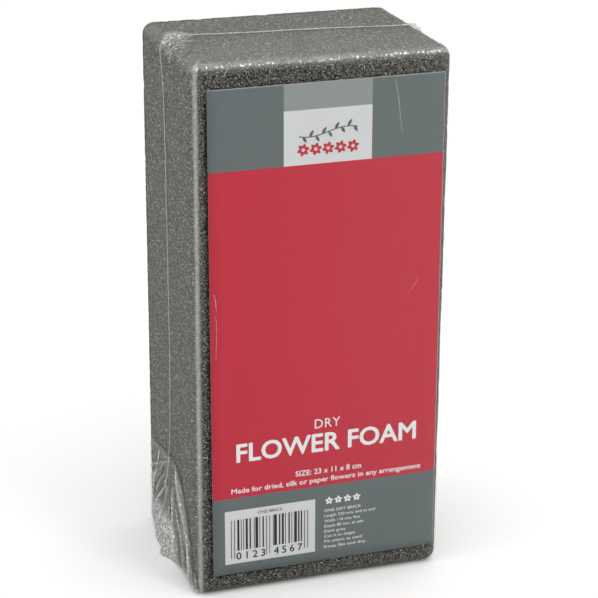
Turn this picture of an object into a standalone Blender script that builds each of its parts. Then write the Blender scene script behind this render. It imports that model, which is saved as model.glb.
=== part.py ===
"""Shrink-wrapped brick of dry floral foam, standing on its small end.

Metres, +Z up, label towards -Y. The origin is the middle of the face that the brick stands on.
"""

import math

import bmesh
import bpy
from mathutils import Matrix, Vector

# The foam, as cut
FOAM_WIDTH = 0.1085
FOAM_DEPTH = 0.0795
FOAM_HEIGHT = 0.2295
FOAM_EDGE_RADIUS = 0.0045

# The label card, held by its margins to the foam's front face
CARD_THICKNESS = 0.0003
CARD_LEFT_MARGIN = 0.0067
CARD_RIGHT_MARGIN = 0.0028
CARD_TOP_MARGIN = 0.0102
CARD_BOTTOM_MARGIN = 0.0091
CARD_TILT = math.radians(0.25)

# The shrink film, which bridges the foam's rounded edges a little more tightly than they are cut
FILM_THICKNESS = 0.00005
FILM_EDGE_RADIUS = 0.003

# The weld that joins the two webs, in front of the brick's mid-depth
SEAM_WIDTH = 0.0006
SEAM_PROUD = 0.0003
SEAM_OFFSET = -0.0015

# Surplus film, several layers shrunk together, gathered where the weld turns a corner
GATHER_THICKNESS = 0.0002
BOTTOM_LEFT_HEIGHT = 0.043
BOTTOM_LEFT_FRONT_REACH = 0.030
BOTTOM_LEFT_BACK_REACH = 0.022
BOTTOM_LEFT_PROUD = 0.0034
BOTTOM_LEFT_PLEATS = 7
BOTTOM_RIGHT_HEIGHT = 0.016
BOTTOM_RIGHT_FRONT_REACH = 0.010
BOTTOM_RIGHT_BACK_REACH = 0.011
BOTTOM_RIGHT_PROUD = 0.0012
BOTTOM_RIGHT_PLEATS = 4
TOP_LEFT_DROP = 0.009
TOP_LEFT_RUN = 0.011
TOP_LEFT_FRONT_REACH = 0.021
TOP_LEFT_BACK_REACH = 0.019
TOP_LEFT_PROUD = 0.0007
TOP_LEFT_PLEATS = 6
EAR_THICKNESS = 0.0003
EAR_HEIGHT = 0.0020
EAR_EDGE = 0.0004
EAR_RUN = 0.005

# Room between neighbouring pieces
FIT_GAP = 0.0003

# Facets
FOAM_SEGMENTS = 5
FILM_SEGMENTS = 5
ARC_STEPS = 6
ROWS_DOWN = 6

# Sizes and places that follow from the ones above
SKIN = FILM_THICKNESS + FIT_GAP
WRAP_WIDTH = FOAM_WIDTH + 2 * SKIN
WRAP_HEIGHT = FOAM_HEIGHT + 2 * SKIN
WRAP_DEPTH = FOAM_DEPTH + 2 * SKIN + CARD_THICKNESS + FIT_GAP
LEFT = -WRAP_WIDTH / 2
RIGHT = WRAP_WIDTH / 2
TOP = WRAP_HEIGHT
FOAM_CENTRE = Vector((0, (CARD_THICKNESS + FIT_GAP) / 2, WRAP_HEIGHT / 2))
FOAM_FRONT = FOAM_CENTRE.y - FOAM_DEPTH / 2
SEAM_HALF_ROOM = SEAM_WIDTH / 2 + FIT_GAP


def clear_scene():
    for obj in list(bpy.data.objects):
        bpy.data.objects.remove(obj, do_unlink=True)


def plain_material(name, colour, roughness, alpha=1.0):
    """A Principled material of one colour; the film's is mostly see-through."""
    material = bpy.data.materials.new(name)
    material.use_nodes = True
    shader = material.node_tree.nodes["Principled BSDF"]
    shader.inputs["Base Color"].default_value = (*colour, 1.0)
    shader.inputs["Roughness"].default_value = roughness
    shader.inputs["Metallic"].default_value = 0.0
    shader.inputs["Alpha"].default_value = alpha
    return material


def add_object(name, bm, material, parent, smooth_angle=None):
    """Turns a bmesh into a named object under the brick's empty."""
    bmesh.ops.recalc_face_normals(bm, faces=bm.faces)
    mesh = bpy.data.meshes.new(name)
    bm.to_mesh(mesh)
    bm.free()
    mesh.materials.append(material)
    if smooth_angle is not None:
        mesh.shade_smooth()
        mesh.set_sharp_from_angle(angle=smooth_angle)
    obj = bpy.data.objects.new(name, mesh)
    bpy.context.scene.collection.objects.link(obj)
    obj.parent = parent
    return obj


def box_mesh(width, depth, height):
    bm = bmesh.new()
    bmesh.ops.create_cube(bm, size=1.0, matrix=Matrix.Diagonal((width, depth, height, 1)))
    return bm


def rounded_box_mesh(width, depth, height, radius, segments):
    """A box centred on its own origin, with every edge and corner rounded."""
    bm = box_mesh(width, depth, height)
    bmesh.ops.bevel(
        bm,
        geom=list(bm.edges),
        offset=radius,
        segments=segments,
        profile=0.5,
        affect="EDGES",
    )
    return bm


def thicken(obj, thickness, offset):
    """Gives a sheet its thickness: inwards where offset is -1, outwards where it is 1."""
    solidify = obj.modifiers.new("film thickness", "SOLIDIFY")
    solidify.thickness = thickness
    solidify.offset = offset
    solidify.use_even_offset = True
    solidify.use_quality_normals = True
    solidify.use_rim = True


def sheet_mesh(rows):
    """A sheet through rows of points, each row as long as the next."""
    bm = bmesh.new()
    grid = [[bm.verts.new(point) for point in row] for row in rows]
    for upper, lower in zip(grid, grid[1:]):
        for k in range(len(upper) - 1):
            bm.faces.new((upper[k], upper[k + 1], lower[k + 1], lower[k]))
    return bm


def add_foam_block(parent, material):
    bm = rounded_box_mesh(FOAM_WIDTH, FOAM_DEPTH, FOAM_HEIGHT, FOAM_EDGE_RADIUS, FOAM_SEGMENTS)
    foam = add_object("foam_block", bm, material, parent, math.radians(40))
    foam.location = FOAM_CENTRE


def add_label_card(parent, material):
    """The card stands clear of the foam's front face, turned a little about its own middle."""
    width = FOAM_WIDTH - CARD_LEFT_MARGIN - CARD_RIGHT_MARGIN
    height = FOAM_HEIGHT - CARD_TOP_MARGIN - CARD_BOTTOM_MARGIN
    card = add_object("label_card", box_mesh(width, CARD_THICKNESS, height), material, parent)
    card.location = (
        (CARD_LEFT_MARGIN - CARD_RIGHT_MARGIN) / 2,
        FOAM_FRONT - FIT_GAP - CARD_THICKNESS / 2,
        SKIN + CARD_BOTTOM_MARGIN + height / 2,
    )
    card.rotation_euler = (0, -CARD_TILT, 0)


def add_film_web(name, side, parent, material):
    """Half of the wrap as an open tray. side is -1 for the front web and 1 for the back web."""
    bm = rounded_box_mesh(WRAP_WIDTH, WRAP_DEPTH, WRAP_HEIGHT, FILM_EDGE_RADIUS, FILM_SEGMENTS)
    bmesh.ops.bisect_plane(
        bm,
        geom=bm.verts[:] + bm.edges[:] + bm.faces[:],
        plane_co=(0, SEAM_OFFSET + side * SEAM_HALF_ROOM, 0),
        plane_no=(0, side, 0),
        clear_inner=True,
    )
    web = bmesh_without_recalc(name, bm, material, parent)
    web.location = (0, 0, WRAP_HEIGHT / 2)
    thicken(web, FILM_THICKNESS, -1)


def bmesh_without_recalc(name, bm, material, parent):
    """An open tray already faces out, so its faces stay as the box had them."""
    mesh = bpy.data.meshes.new(name)
    bm.to_mesh(mesh)
    bm.free()
    mesh.materials.append(material)
    mesh.shade_smooth()
    mesh.set_sharp_from_angle(angle=math.radians(40))
    obj = bpy.data.objects.new(name, mesh)
    bpy.context.scene.collection.objects.link(obj)
    obj.parent = parent
    return obj


def wrap_outline():
    """Points and outward directions round the wrap, seen from the front, as (x, z) pairs."""
    reach_x = WRAP_WIDTH / 2 - FILM_EDGE_RADIUS
    reach_z = WRAP_HEIGHT / 2 - FILM_EDGE_RADIUS
    outline = []
    for corner, (side_x, side_z) in enumerate(((1, -1), (1, 1), (-1, 1), (-1, -1))):
        for step in range(ARC_STEPS + 1):
            angle = math.radians(90) * (corner - 1 + step / ARC_STEPS)
            out = Vector((math.cos(angle), math.sin(angle)))
            centre = Vector((side_x * reach_x, side_z * reach_z + WRAP_HEIGHT / 2))
            outline.append((centre + FILM_EDGE_RADIUS * out, out))
    return outline


def add_seam_weld(parent, material):
    """A low ridge that runs right round between the webs, pressed flat where the brick stands on it."""
    section = (
        (-SEAM_WIDTH / 2, -FILM_THICKNESS),
        (-SEAM_WIDTH / 2, 0),
        (-SEAM_WIDTH / 6, SEAM_PROUD),
        (SEAM_WIDTH / 6, SEAM_PROUD),
        (SEAM_WIDTH / 2, 0),
        (SEAM_WIDTH / 2, -FILM_THICKNESS),
    )
    bm = bmesh.new()
    rings = []
    for point, out in wrap_outline():
        ring = []
        for across, height in section:
            place = point + out * height
            ring.append(bm.verts.new((place.x, SEAM_OFFSET + across, max(place.y, 0))))
        rings.append(ring)
    for ring, following in zip(rings, rings[1:] + rings[:1]):
        for k, (a, b) in enumerate(zip(ring, following)):
            after = (k + 1) % len(section)
            bm.faces.new((a, b, following[after], ring[after]))
    add_object("seam_weld", bm, material, parent, math.radians(50))


def pleat_height(across, pleats):
    """0 to 1 over a fan of pleats: tallest in the middle, flat at both edges."""
    ridge = 0.5 - 0.5 * math.cos(2 * math.pi * pleats * across)
    return (0.25 + 0.75 * ridge) * math.sin(math.pi * across)


def add_bottom_gather(name, side, height, front_reach, back_reach, proud, pleats, parent, material):
    """A fan of pleats low on one side, opening downwards from the end of the weld."""
    columns = 4 * pleats
    face = WRAP_WIDTH / 2 + SEAM_PROUD + FIT_GAP
    rows = []
    for row in range(ROWS_DOWN + 1):
        down = row / ROWS_DOWN
        opened = 0.08 + 0.92 * down
        points = []
        for column in range(columns + 1):
            across = column / columns
            y = SEAM_OFFSET + opened * (across * (front_reach + back_reach) - front_reach)
            z = FIT_GAP + (1 - down) * height
            points.append((side * (face + proud * opened * pleat_height(across, pleats)), y, z))
        rows.append(points)
    gather = add_object(name, sheet_mesh(rows), material, parent, math.radians(60))
    thicken(gather, GATHER_THICKNESS, 1 if sheet_faces(gather, side) else -1)


def sheet_faces(obj, side):
    """Whether a sheet's faces look towards +X times side, as most of them do."""
    return sum(face.normal.x * face.area for face in obj.data.polygons) * side > 0


def over_top_left(travel):
    """Point and outward direction at a distance along the way up the left side and over onto the top."""
    radius = FILM_EDGE_RADIUS + SEAM_PROUD + FIT_GAP
    centre = Vector((LEFT + FILM_EDGE_RADIUS, TOP - FILM_EDGE_RADIUS))
    arc = radius * math.pi / 2
    if travel < TOP_LEFT_DROP:
        out = Vector((-1, 0))
        return centre + radius * out + Vector((0, travel - TOP_LEFT_DROP)), out
    if travel < TOP_LEFT_DROP + arc:
        angle = math.pi - (travel - TOP_LEFT_DROP) / radius
        out = Vector((math.cos(angle), math.sin(angle)))
        return centre + radius * out, out
    out = Vector((0, 1))
    return centre + radius * out + Vector((travel - TOP_LEFT_DROP - arc, 0)), out


def add_top_gather(parent, material):
    """Shallow puckers that run up the left side and over the edge onto the top."""
    columns = 4 * TOP_LEFT_PLEATS
    radius = FILM_EDGE_RADIUS + SEAM_PROUD + FIT_GAP
    length = TOP_LEFT_DROP + TOP_LEFT_RUN + radius * math.pi / 2
    steps = 2 * ARC_STEPS
    rows = []
    for row in range(steps + 1):
        along = row / steps
        place, out = over_top_left(along * length)
        spread = 0.35 + 0.65 * math.sin(math.pi * along)
        points = []
        for column in range(columns + 1):
            across = column / columns
            reach = across * (TOP_LEFT_FRONT_REACH + TOP_LEFT_BACK_REACH) - TOP_LEFT_FRONT_REACH
            lifted = place + out * TOP_LEFT_PROUD * spread * pleat_height(across, TOP_LEFT_PLEATS)
            points.append((lifted.x, SEAM_OFFSET + spread * reach, lifted.y))
        rows.append(points)
    gather = add_object("gather_top_left", sheet_mesh(rows), material, parent, math.radians(60))
    thicken(gather, GATHER_THICKNESS, 1 if sheet_faces(gather, -1) else -1)


def add_ear(parent, material):
    """A trimmed fin in the weld's plane, from the top face round to the top right edge."""
    inner_radius = FILM_EDGE_RADIUS + SEAM_PROUD + FIT_GAP
    centre = Vector((RIGHT - FILM_EDGE_RADIUS, TOP - FILM_EDGE_RADIUS))
    top_end = centre + Vector((-EAR_RUN, inner_radius))
    inner = [top_end]
    outer = [top_end + Vector((0, EAR_EDGE))]
    for step in range(ARC_STEPS + 1):
        turned = step / ARC_STEPS
        angle = math.radians(90 - 70 * turned)
        out = Vector((math.cos(angle), math.sin(angle)))
        lift = EAR_EDGE + (EAR_HEIGHT - EAR_EDGE) * math.sin(math.pi * turned)
        inner.append(centre + inner_radius * out)
        outer.append(centre + (inner_radius + lift) * out)
    bm = bmesh.new()
    outline = [bm.verts.new((p.x, SEAM_OFFSET - EAR_THICKNESS / 2, p.y)) for p in inner + outer[::-1]]
    face = bm.faces.new(outline)
    grown = bmesh.ops.extrude_face_region(bm, geom=[face])
    moved = [item for item in grown["geom"] if isinstance(item, bmesh.types.BMVert)]
    bmesh.ops.translate(bm, verts=moved, vec=(0, EAR_THICKNESS, 0))
    add_object("ear_top_right", bm, material, parent)


def build():
    clear_scene()
    brick = bpy.data.objects.new("brick", None)
    bpy.context.scene.collection.objects.link(brick)
    foam = plain_material("foam", (0.105, 0.100, 0.088), 0.95)
    card = plain_material("card", (0.46, 0.045, 0.058), 0.45)
    film = plain_material("film", (0.92, 0.93, 0.93), 0.08, alpha=0.2)
    pleated_film = plain_material("pleated_film", (0.80, 0.81, 0.80), 0.15, alpha=0.5)
    add_foam_block(brick, foam)
    add_label_card(brick, card)
    add_film_web("film_front_web", -1, brick, film)
    add_film_web("film_back_web", 1, brick, film)
    add_seam_weld(brick, pleated_film)
    add_bottom_gather(
        "gather_bottom_left",
        -1,
        BOTTOM_LEFT_HEIGHT,
        BOTTOM_LEFT_FRONT_REACH,
        BOTTOM_LEFT_BACK_REACH,
        BOTTOM_LEFT_PROUD,
        BOTTOM_LEFT_PLEATS,
        brick,
        pleated_film,
    )
    add_bottom_gather(
        "gather_bottom_right",
        1,
        BOTTOM_RIGHT_HEIGHT,
        BOTTOM_RIGHT_FRONT_REACH,
        BOTTOM_RIGHT_BACK_REACH,
        BOTTOM_RIGHT_PROUD,
        BOTTOM_RIGHT_PLEATS,
        brick,
        pleated_film,
    )
    add_top_gather(brick, pleated_film)
    add_ear(brick, pleated_film)


build()
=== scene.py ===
"""A brick of dry grey foam for flower work, standing on its end, shrink-wrapped over a printed card.

Everything is in metres in the part's own frame: +Z up, the card towards -Y, the origin under the brick.
"""

import math

import bmesh
import bpy
import numpy as np
from bpy.props import FloatProperty, FloatVectorProperty, IntProperty, PointerProperty, StringProperty
from bpy.types import Operator, Panel, PropertyGroup
from mathutils import Matrix, Vector


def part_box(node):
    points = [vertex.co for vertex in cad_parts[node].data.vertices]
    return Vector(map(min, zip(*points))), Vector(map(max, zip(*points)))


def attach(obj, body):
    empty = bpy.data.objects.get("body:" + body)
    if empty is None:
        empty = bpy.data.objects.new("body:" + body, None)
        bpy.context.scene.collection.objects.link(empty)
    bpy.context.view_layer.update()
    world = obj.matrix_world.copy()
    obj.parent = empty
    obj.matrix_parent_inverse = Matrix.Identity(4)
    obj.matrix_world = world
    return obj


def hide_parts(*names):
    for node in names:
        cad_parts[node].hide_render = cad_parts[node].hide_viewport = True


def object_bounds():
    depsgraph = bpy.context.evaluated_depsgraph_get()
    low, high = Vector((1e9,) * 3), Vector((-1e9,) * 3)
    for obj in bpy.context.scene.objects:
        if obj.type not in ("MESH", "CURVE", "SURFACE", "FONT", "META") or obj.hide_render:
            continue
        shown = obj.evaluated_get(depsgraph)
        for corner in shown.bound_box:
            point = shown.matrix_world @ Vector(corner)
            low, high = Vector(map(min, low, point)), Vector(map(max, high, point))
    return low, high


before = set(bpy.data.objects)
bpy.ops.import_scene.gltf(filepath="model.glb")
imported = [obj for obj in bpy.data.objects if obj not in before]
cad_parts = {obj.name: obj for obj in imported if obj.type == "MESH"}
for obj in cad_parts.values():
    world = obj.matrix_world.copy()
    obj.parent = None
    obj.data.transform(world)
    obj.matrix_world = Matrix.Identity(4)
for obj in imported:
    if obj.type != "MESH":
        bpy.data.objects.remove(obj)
CAD_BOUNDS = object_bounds()

bl_info = {
    "name": "Wrapped Foam Brick",
    "version": (1, 0, 0),
    "blender": (4, 5, 0),
    "location": "3D View > Sidebar > Foam Brick",
    "description": "Makes the foam, the printed card, the shrink film and its gathers",
    "category": "Object",
}

MM = 0.001
BODY = "root"

# The places that everything is laid out from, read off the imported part
FOAM_LOW, FOAM_HIGH = (np.array(corner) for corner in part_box("foam_block"))
WRAP_LOW = np.minimum(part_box("film_front_web")[0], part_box("film_back_web")[0])
WRAP_HIGH = np.maximum(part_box("film_front_web")[1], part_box("film_back_web")[1])
WRAP_TALL = WRAP_HIGH[2] - WRAP_LOW[2]
WRAP_WIDE = WRAP_HIGH[0] - WRAP_LOW[0]
SEAM_MIDDLE = (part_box("seam_weld")[0][1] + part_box("seam_weld")[1][1]) / 2

# The card is turned a little in its place, so its own size comes from its upright box and that turn
CARD_TURN = math.radians(0.25)
CARD_LOW, CARD_HIGH = (np.array(corner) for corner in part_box("label_card"))
CARD_MIDDLE = (CARD_LOW + CARD_HIGH) / 2
CARD_BOX = CARD_HIGH - CARD_LOW
CARD_WIDE = CARD_BOX[0] * math.cos(CARD_TURN) - CARD_BOX[2] * math.sin(CARD_TURN)
CARD_TALL = CARD_BOX[2] * math.cos(CARD_TURN) - CARD_BOX[0] * math.sin(CARD_TURN)
CARD_THICK = CARD_BOX[1]
CARD_FACE = CARD_LOW[1]


# --- Shapes ---------------------------------------------------------------------------------------


# Large odd numbers that scramble a grid place and a seed into an even spread of whole numbers
SEED_STEP, FIRST_MIX, MIX_SHIFT, SECOND_MIX, THIRD_MIX = 977, 73856093, 19349663, 83492791, 40503
HALF_RANGE = 0xFFFF / 2


def swells(points, size, seed):
    """Smooth noise from -1 to 1 at each point, with about one swell to each stretch of that size."""
    spot = points / np.asarray(size, float)
    cell = np.floor(spot).astype(np.int64)
    part = spot - cell
    part = part * part * (3 - 2 * part)
    total = np.zeros(len(points))
    for corner in np.ndindex(*(2,) * spot.shape[1]):
        mixed = np.full(len(points), seed * SEED_STEP, np.int64)
        weight = np.ones(len(points))
        for axis, step in enumerate(corner):
            mixed = (mixed ^ (cell[:, axis] + step)) * FIRST_MIX + MIX_SHIFT
            mixed ^= mixed >> 15
            weight *= part[:, axis] if step else 1 - part[:, axis]
        mixed = (mixed * SECOND_MIX) & 0xFFFFFFFF
        mixed = ((mixed ^ (mixed >> 13)) * THIRD_MIX) & 0xFFFF
        total += weight * (mixed / HALF_RANGE - 1)
    return total


def ridges(points, size, seed):
    """Noise from 0 to 1 that peaks along sharp crests, as a creased sheet does."""
    return 1 - np.abs(swells(points, size, seed))


def ease(value, low, high):
    """0 below low and 1 above high, with a smooth rise between them. high may be below low."""
    share = np.clip((value - low) / (high - low), 0, 1)
    return share * share * (3 - 2 * share)


def hump(value, middle, reach):
    """1 at middle, and smoothly down to 0 at that reach on both sides."""
    return ease(np.abs(value - middle), reach, 0)


def ruled(marks, step):
    """Places from the first mark to the last, one at each mark and about a step apart between them."""
    places = []
    for start, end in zip(marks, marks[1:]):
        places += list(np.linspace(start, end, max(2, round((end - start) / step) + 1))[:-1])
    return np.array(places + [marks[-1]])


def grid_stops(low, high, rounding, step, turns, lines=()):
    """Where grid lines fall along one side: close round both ends, even between, one at each line."""
    turn = rounding * np.tan(np.linspace(0, math.pi / 4, turns + 1))
    marks = sorted({low + rounding, high - rounding, *lines})
    return np.concatenate([low + rounding - turn[:0:-1], ruled(marks, step)[:-1], high - rounding + turn])


def box_grid(low, high, rounding, step, turns, lines=((), (), ())):
    """Points and outward quads of a sharp box's skin, ruled so that round_off can round its edges."""
    merge = 1e-7
    stops = [grid_stops(low[i], high[i], rounding, step, turns, lines[i]) for i in range(3)]
    points, quads, count = [], [], 0
    for axis in range(3):
        first, second = (axis + 1) % 3, (axis + 2) % 3
        across, along = np.meshgrid(stops[first], stops[second], indexing="ij")
        index = np.arange(across.size).reshape(across.shape)
        ring = [index[:-1, :-1], index[1:, :-1], index[1:, 1:], index[:-1, 1:]]
        for value, order in ((low[axis], ring[::-1]), (high[axis], ring)):
            block = np.empty((across.size, 3))
            block[:, axis] = value
            block[:, first] = across.ravel()
            block[:, second] = along.ravel()
            points.append(block)
            quads.append(np.stack([corner.ravel() for corner in order], axis=1) + count)
            count += len(block)
    points = np.concatenate(points)
    key = np.round(points / merge).astype(np.int64)
    _, first, back = np.unique(key, axis=0, return_index=True, return_inverse=True)
    return points[first], back.reshape(-1)[np.concatenate(quads)]


def round_off(points, low, high, rounding):
    """Points on a sharp box's skin moved onto the rounded skin, and the way each then faces."""
    core = np.clip(points, low + rounding, high - rounding)
    away = points - core
    outward = away / np.linalg.norm(away, axis=1, keepdims=True)
    return core + outward * rounding, outward


def sheet_quads(rows, columns):
    """Quads of a grid of rows x columns points, numbered along the rows."""
    index = np.arange(rows * columns).reshape(rows, columns)
    ring = [index[:-1, :-1], index[1:, :-1], index[1:, 1:], index[:-1, 1:]]
    return np.stack([corner.ravel() for corner in ring], axis=1)


def new_piece(name, points, faces, smooth=True):
    """A mesh object at the origin, with its place in its points."""
    mesh = bpy.data.meshes.new(name)
    mesh.from_pydata(np.asarray(points).tolist(), [], np.asarray(faces).tolist())
    if smooth:
        mesh.shade_smooth()
    mesh.update()
    piece = bpy.data.objects.new(name, mesh)
    bpy.context.scene.collection.objects.link(piece)
    return piece


def drop_loose(points, faces):
    """Only the points that some face uses, the faces renumbered to match, and which points stayed."""
    used, faces = np.unique(faces, return_inverse=True)
    return points[used], faces.reshape(-1, 4), used


def note(piece, name, values):
    """Keeps one number for each point of a piece, for its finish to read."""
    layer = piece.data.attributes.new(name, "FLOAT", "POINT")
    layer.data.foreach_set("value", np.ascontiguousarray(values, np.float32))


def note_looks(piece, haze_and_highlight, pale, painted_glint, gloss):
    """Notes what a piece of film needs: how white, from drawn film and painted highlights; how pale where it is
    white, lower being painted fold shade; how much it glints, as painted glints; how glossy.
    """
    count = len(piece.data.vertices)
    for name, value in (("haze_and_highlight", haze_and_highlight), ("pale", pale), ("painted_glint", painted_glint), ("gloss", gloss)):
        note(piece, name, np.broadcast_to(value, count))


def wall(piece, thickness):
    """Gives a sheet its thickness, inwards from the side that it faces."""
    modifier = piece.modifiers.new("thickness", "SOLIDIFY")
    modifier.thickness = thickness
    modifier.offset = -1
    modifier.use_even_offset = False
    return modifier


def baked(piece):
    """The piece's shape with its modifiers applied, as a plain mesh on the same object."""
    bpy.context.view_layer.update()
    graph = bpy.context.evaluated_depsgraph_get()
    mesh = bpy.data.meshes.new_from_object(piece.evaluated_get(graph))
    piece.modifiers.clear()
    old = piece.data
    piece.data = mesh
    mesh.name = piece.name
    if old.users == 0:
        bpy.data.meshes.remove(old)
    return piece


# --- Node trees -----------------------------------------------------------------------------------


class Link:
    """One output of a node. Arithmetic on it adds the Math nodes of the expression."""

    def __init__(self, tree, socket):
        self.tree = tree
        self.socket = socket

    def maths(self, operation, first, second):
        return self.tree.add("ShaderNodeMath", {"operation": operation}, {0: first, 1: second})

    def __add__(self, other):
        return self.maths("ADD", self, other)

    __radd__ = __add__

    def __sub__(self, other):
        return self.maths("SUBTRACT", self, other)

    def __rsub__(self, other):
        return self.maths("SUBTRACT", other, self)

    def __mul__(self, other):
        return self.maths("MULTIPLY", self, other)

    __rmul__ = __mul__

    def __truediv__(self, other):
        return self.maths("DIVIDE", self, other)

    def __pow__(self, other):
        return self.maths("POWER", self, other)

    def __lt__(self, other):
        return self.maths("LESS_THAN", self, other)

    def held(self):
        """The value kept between 0 and 1."""
        return self.tree.add("ShaderNodeClamp", {}, {0: self})


class Tree:
    """A node tree that is written as expressions and calls of add."""

    def __init__(self, tree):
        self.tree = tree

    def add(self, kind, settings=None, inputs=None, output=0):
        """Adds a node, sets it up, fills or links its inputs, and gives back one of its outputs."""
        node = self.tree.nodes.new(kind)
        for name, value in (settings or {}).items():
            setattr(node, name, value)
        for name, value in (inputs or {}).items():
            if isinstance(value, Link):
                self.tree.links.new(value.socket, node.inputs[name])
            elif value is not None:
                node.inputs[name].default_value = value
        return Link(self, node.outputs[output])


class Finish(Tree):
    """The shader tree of one material."""

    def __init__(self, name):
        self.material = bpy.data.materials.new(name)
        self.material.use_nodes = True
        super().__init__(self.material.node_tree)
        self.tree.nodes.clear()
        self.where = self.add("ShaderNodeTexCoord", output="Object")

    def stretched(self, scale):
        """The place on the piece, with each axis counted faster or slower."""
        return self.add("ShaderNodeMapping", {}, {"Vector": self.where, "Scale": scale})

    def grain(self, size, detail=0.0, seed=0.0, where=None):
        """Soft noise from 0 to 1 with spots of that size."""
        inputs = {"Vector": where or self.where, "W": seed, "Scale": 1 / size, "Detail": detail}
        return self.add("ShaderNodeTexNoise", {"noise_dimensions": "4D"}, inputs)

    def rise(self, value, low, high):
        """0 where value is below low, 1 where it is above high."""
        inputs = {"Value": value, "From Min": low, "From Max": high}
        return self.add("ShaderNodeMapRange", {"clamp": True}, inputs)

    def mix(self, share, first, second):
        """The colour that goes from first to second as share goes from 0 to 1."""
        return self.add("ShaderNodeMix", {"data_type": "RGBA"}, {0: share, 6: first, 7: second}, 2)

    def bump(self, height, depth, strength=1.0):
        """A normal that follows height, which stands for that depth in metres."""
        inputs = {"Strength": strength, "Distance": depth, "Height": height}
        return self.add("ShaderNodeBump", {}, inputs)

    def noted(self, name):
        """The number that the piece keeps for each of its points."""
        return self.add("ShaderNodeAttribute", {"attribute_name": name}, output="Fac")

    def surface(self, shader):
        """Ends the tree, and gives back its material."""
        end = self.tree.nodes.new("ShaderNodeOutputMaterial")
        self.tree.links.new(shader.socket, end.inputs["Surface"])
        return self.material


class Shaper(Tree):
    """The geometry tree of one modifier, with a named input for each size."""

    def __init__(self, name, **kinds):
        super().__init__(bpy.data.node_groups.new(name, "GeometryNodeTree"))
        for given, kind in kinds.items():
            self.tree.interface.new_socket(given, in_out="INPUT", socket_type="NodeSocket" + kind)
        self.tree.interface.new_socket("Shape", in_out="OUTPUT", socket_type="NodeSocketGeometry")

    def given(self, name):
        """The value of one named input."""
        return self.add("NodeGroupInput", output=name)

    def shape(self, made, material):
        """Ends the tree with real faces of that material, and gives it back."""
        real = self.add("GeometryNodeRealizeInstances", {}, {"Geometry": made})
        dressed = self.add("GeometryNodeSetMaterial", {}, {"Geometry": real, "Material": material})
        end = self.tree.nodes.new("NodeGroupOutput")
        self.tree.links.new(dressed.socket, end.inputs["Shape"])
        return self.tree


def tone(colour, share=1.0):
    """A colour property as the four numbers that a socket takes, brighter or darker by share."""
    return tuple(min(1.0, channel * share) for channel in colour[:3]) + (1.0,)


def foam_finish(settings):
    """Rigid open-cell foam: dark pores and pale cell walls, with painted glints on a few of them, and painted
    shade and painted light where the piece notes them.
    """
    finish = Finish("grey foam cells")
    size = settings.cell_size
    cloud = finish.grain(0.03, 2.0, 11)

    def foamed(where):
        """The pale walls' share, the bright walls and the height of the cells laid out in those places."""
        cells = finish.add("ShaderNodeTexVoronoi", {}, {"Vector": where, "Scale": 1 / size}, "Distance")
        fine = finish.grain(size * 0.8, 1.0, 3, where)
        coarse = finish.grain(size * 2.2, 1.0, 7, where)
        share = 0.41 + (fine - 0.5) * 3.7 + (cells - 0.45) * 1.2 + (coarse - 0.5) * 1.0
        return share, finish.grain(size * 0.9, 0.0, 19, where), cells * 0.8 + fine * 0.7 + coarse * 0.5

    # On the left side and the top the cells run long through the block's depth, elsewhere they are even
    long = finish.noted("long")
    share, bright, height = (
        even + (drawn - even) * long
        for even, drawn in zip(foamed(finish.where), foamed(finish.stretched((1.0, 0.45, 1.0))))
    )
    # Painted shade darkens the foam where the piece notes it
    share = share + (cloud - 0.5) * 0.25 - finish.noted("painted_shade")
    base = finish.mix(share.held(), tone(settings.pore_colour), tone(settings.wall_colour))
    # Painted glints: the brightest spots of the cell walls are mixed towards a pale colour
    cell_glints_painted = finish.mix(finish.rise(bright, 0.66, 0.72) * 0.55, base, tone(settings.painted_cell_glint_colour))
    # Painted light: the top and sides are mixed towards a pale colour
    colour = finish.mix(finish.noted("painted_light"), cell_glints_painted, tone(settings.face_light_paint_colour))
    shader = finish.add(
        "ShaderNodeBsdfPrincipled",
        {},
        {
            "Base Color": colour,
            "Roughness": 0.72 + height * 0.13,
            "Normal": finish.bump(height, size * 0.3, 0.5),
            "Specular IOR Level": 0.1,
        },
    )
    return finish.surface(shader)


# Sizes of the fine puckers, the cloud in drawn film and the painted glints on it, in metres
PUCKER_SIZE, CLOUD_SIZE, SPARK_PAINT_SIZE = 0.0012, 0.0011, 0.0010


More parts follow.
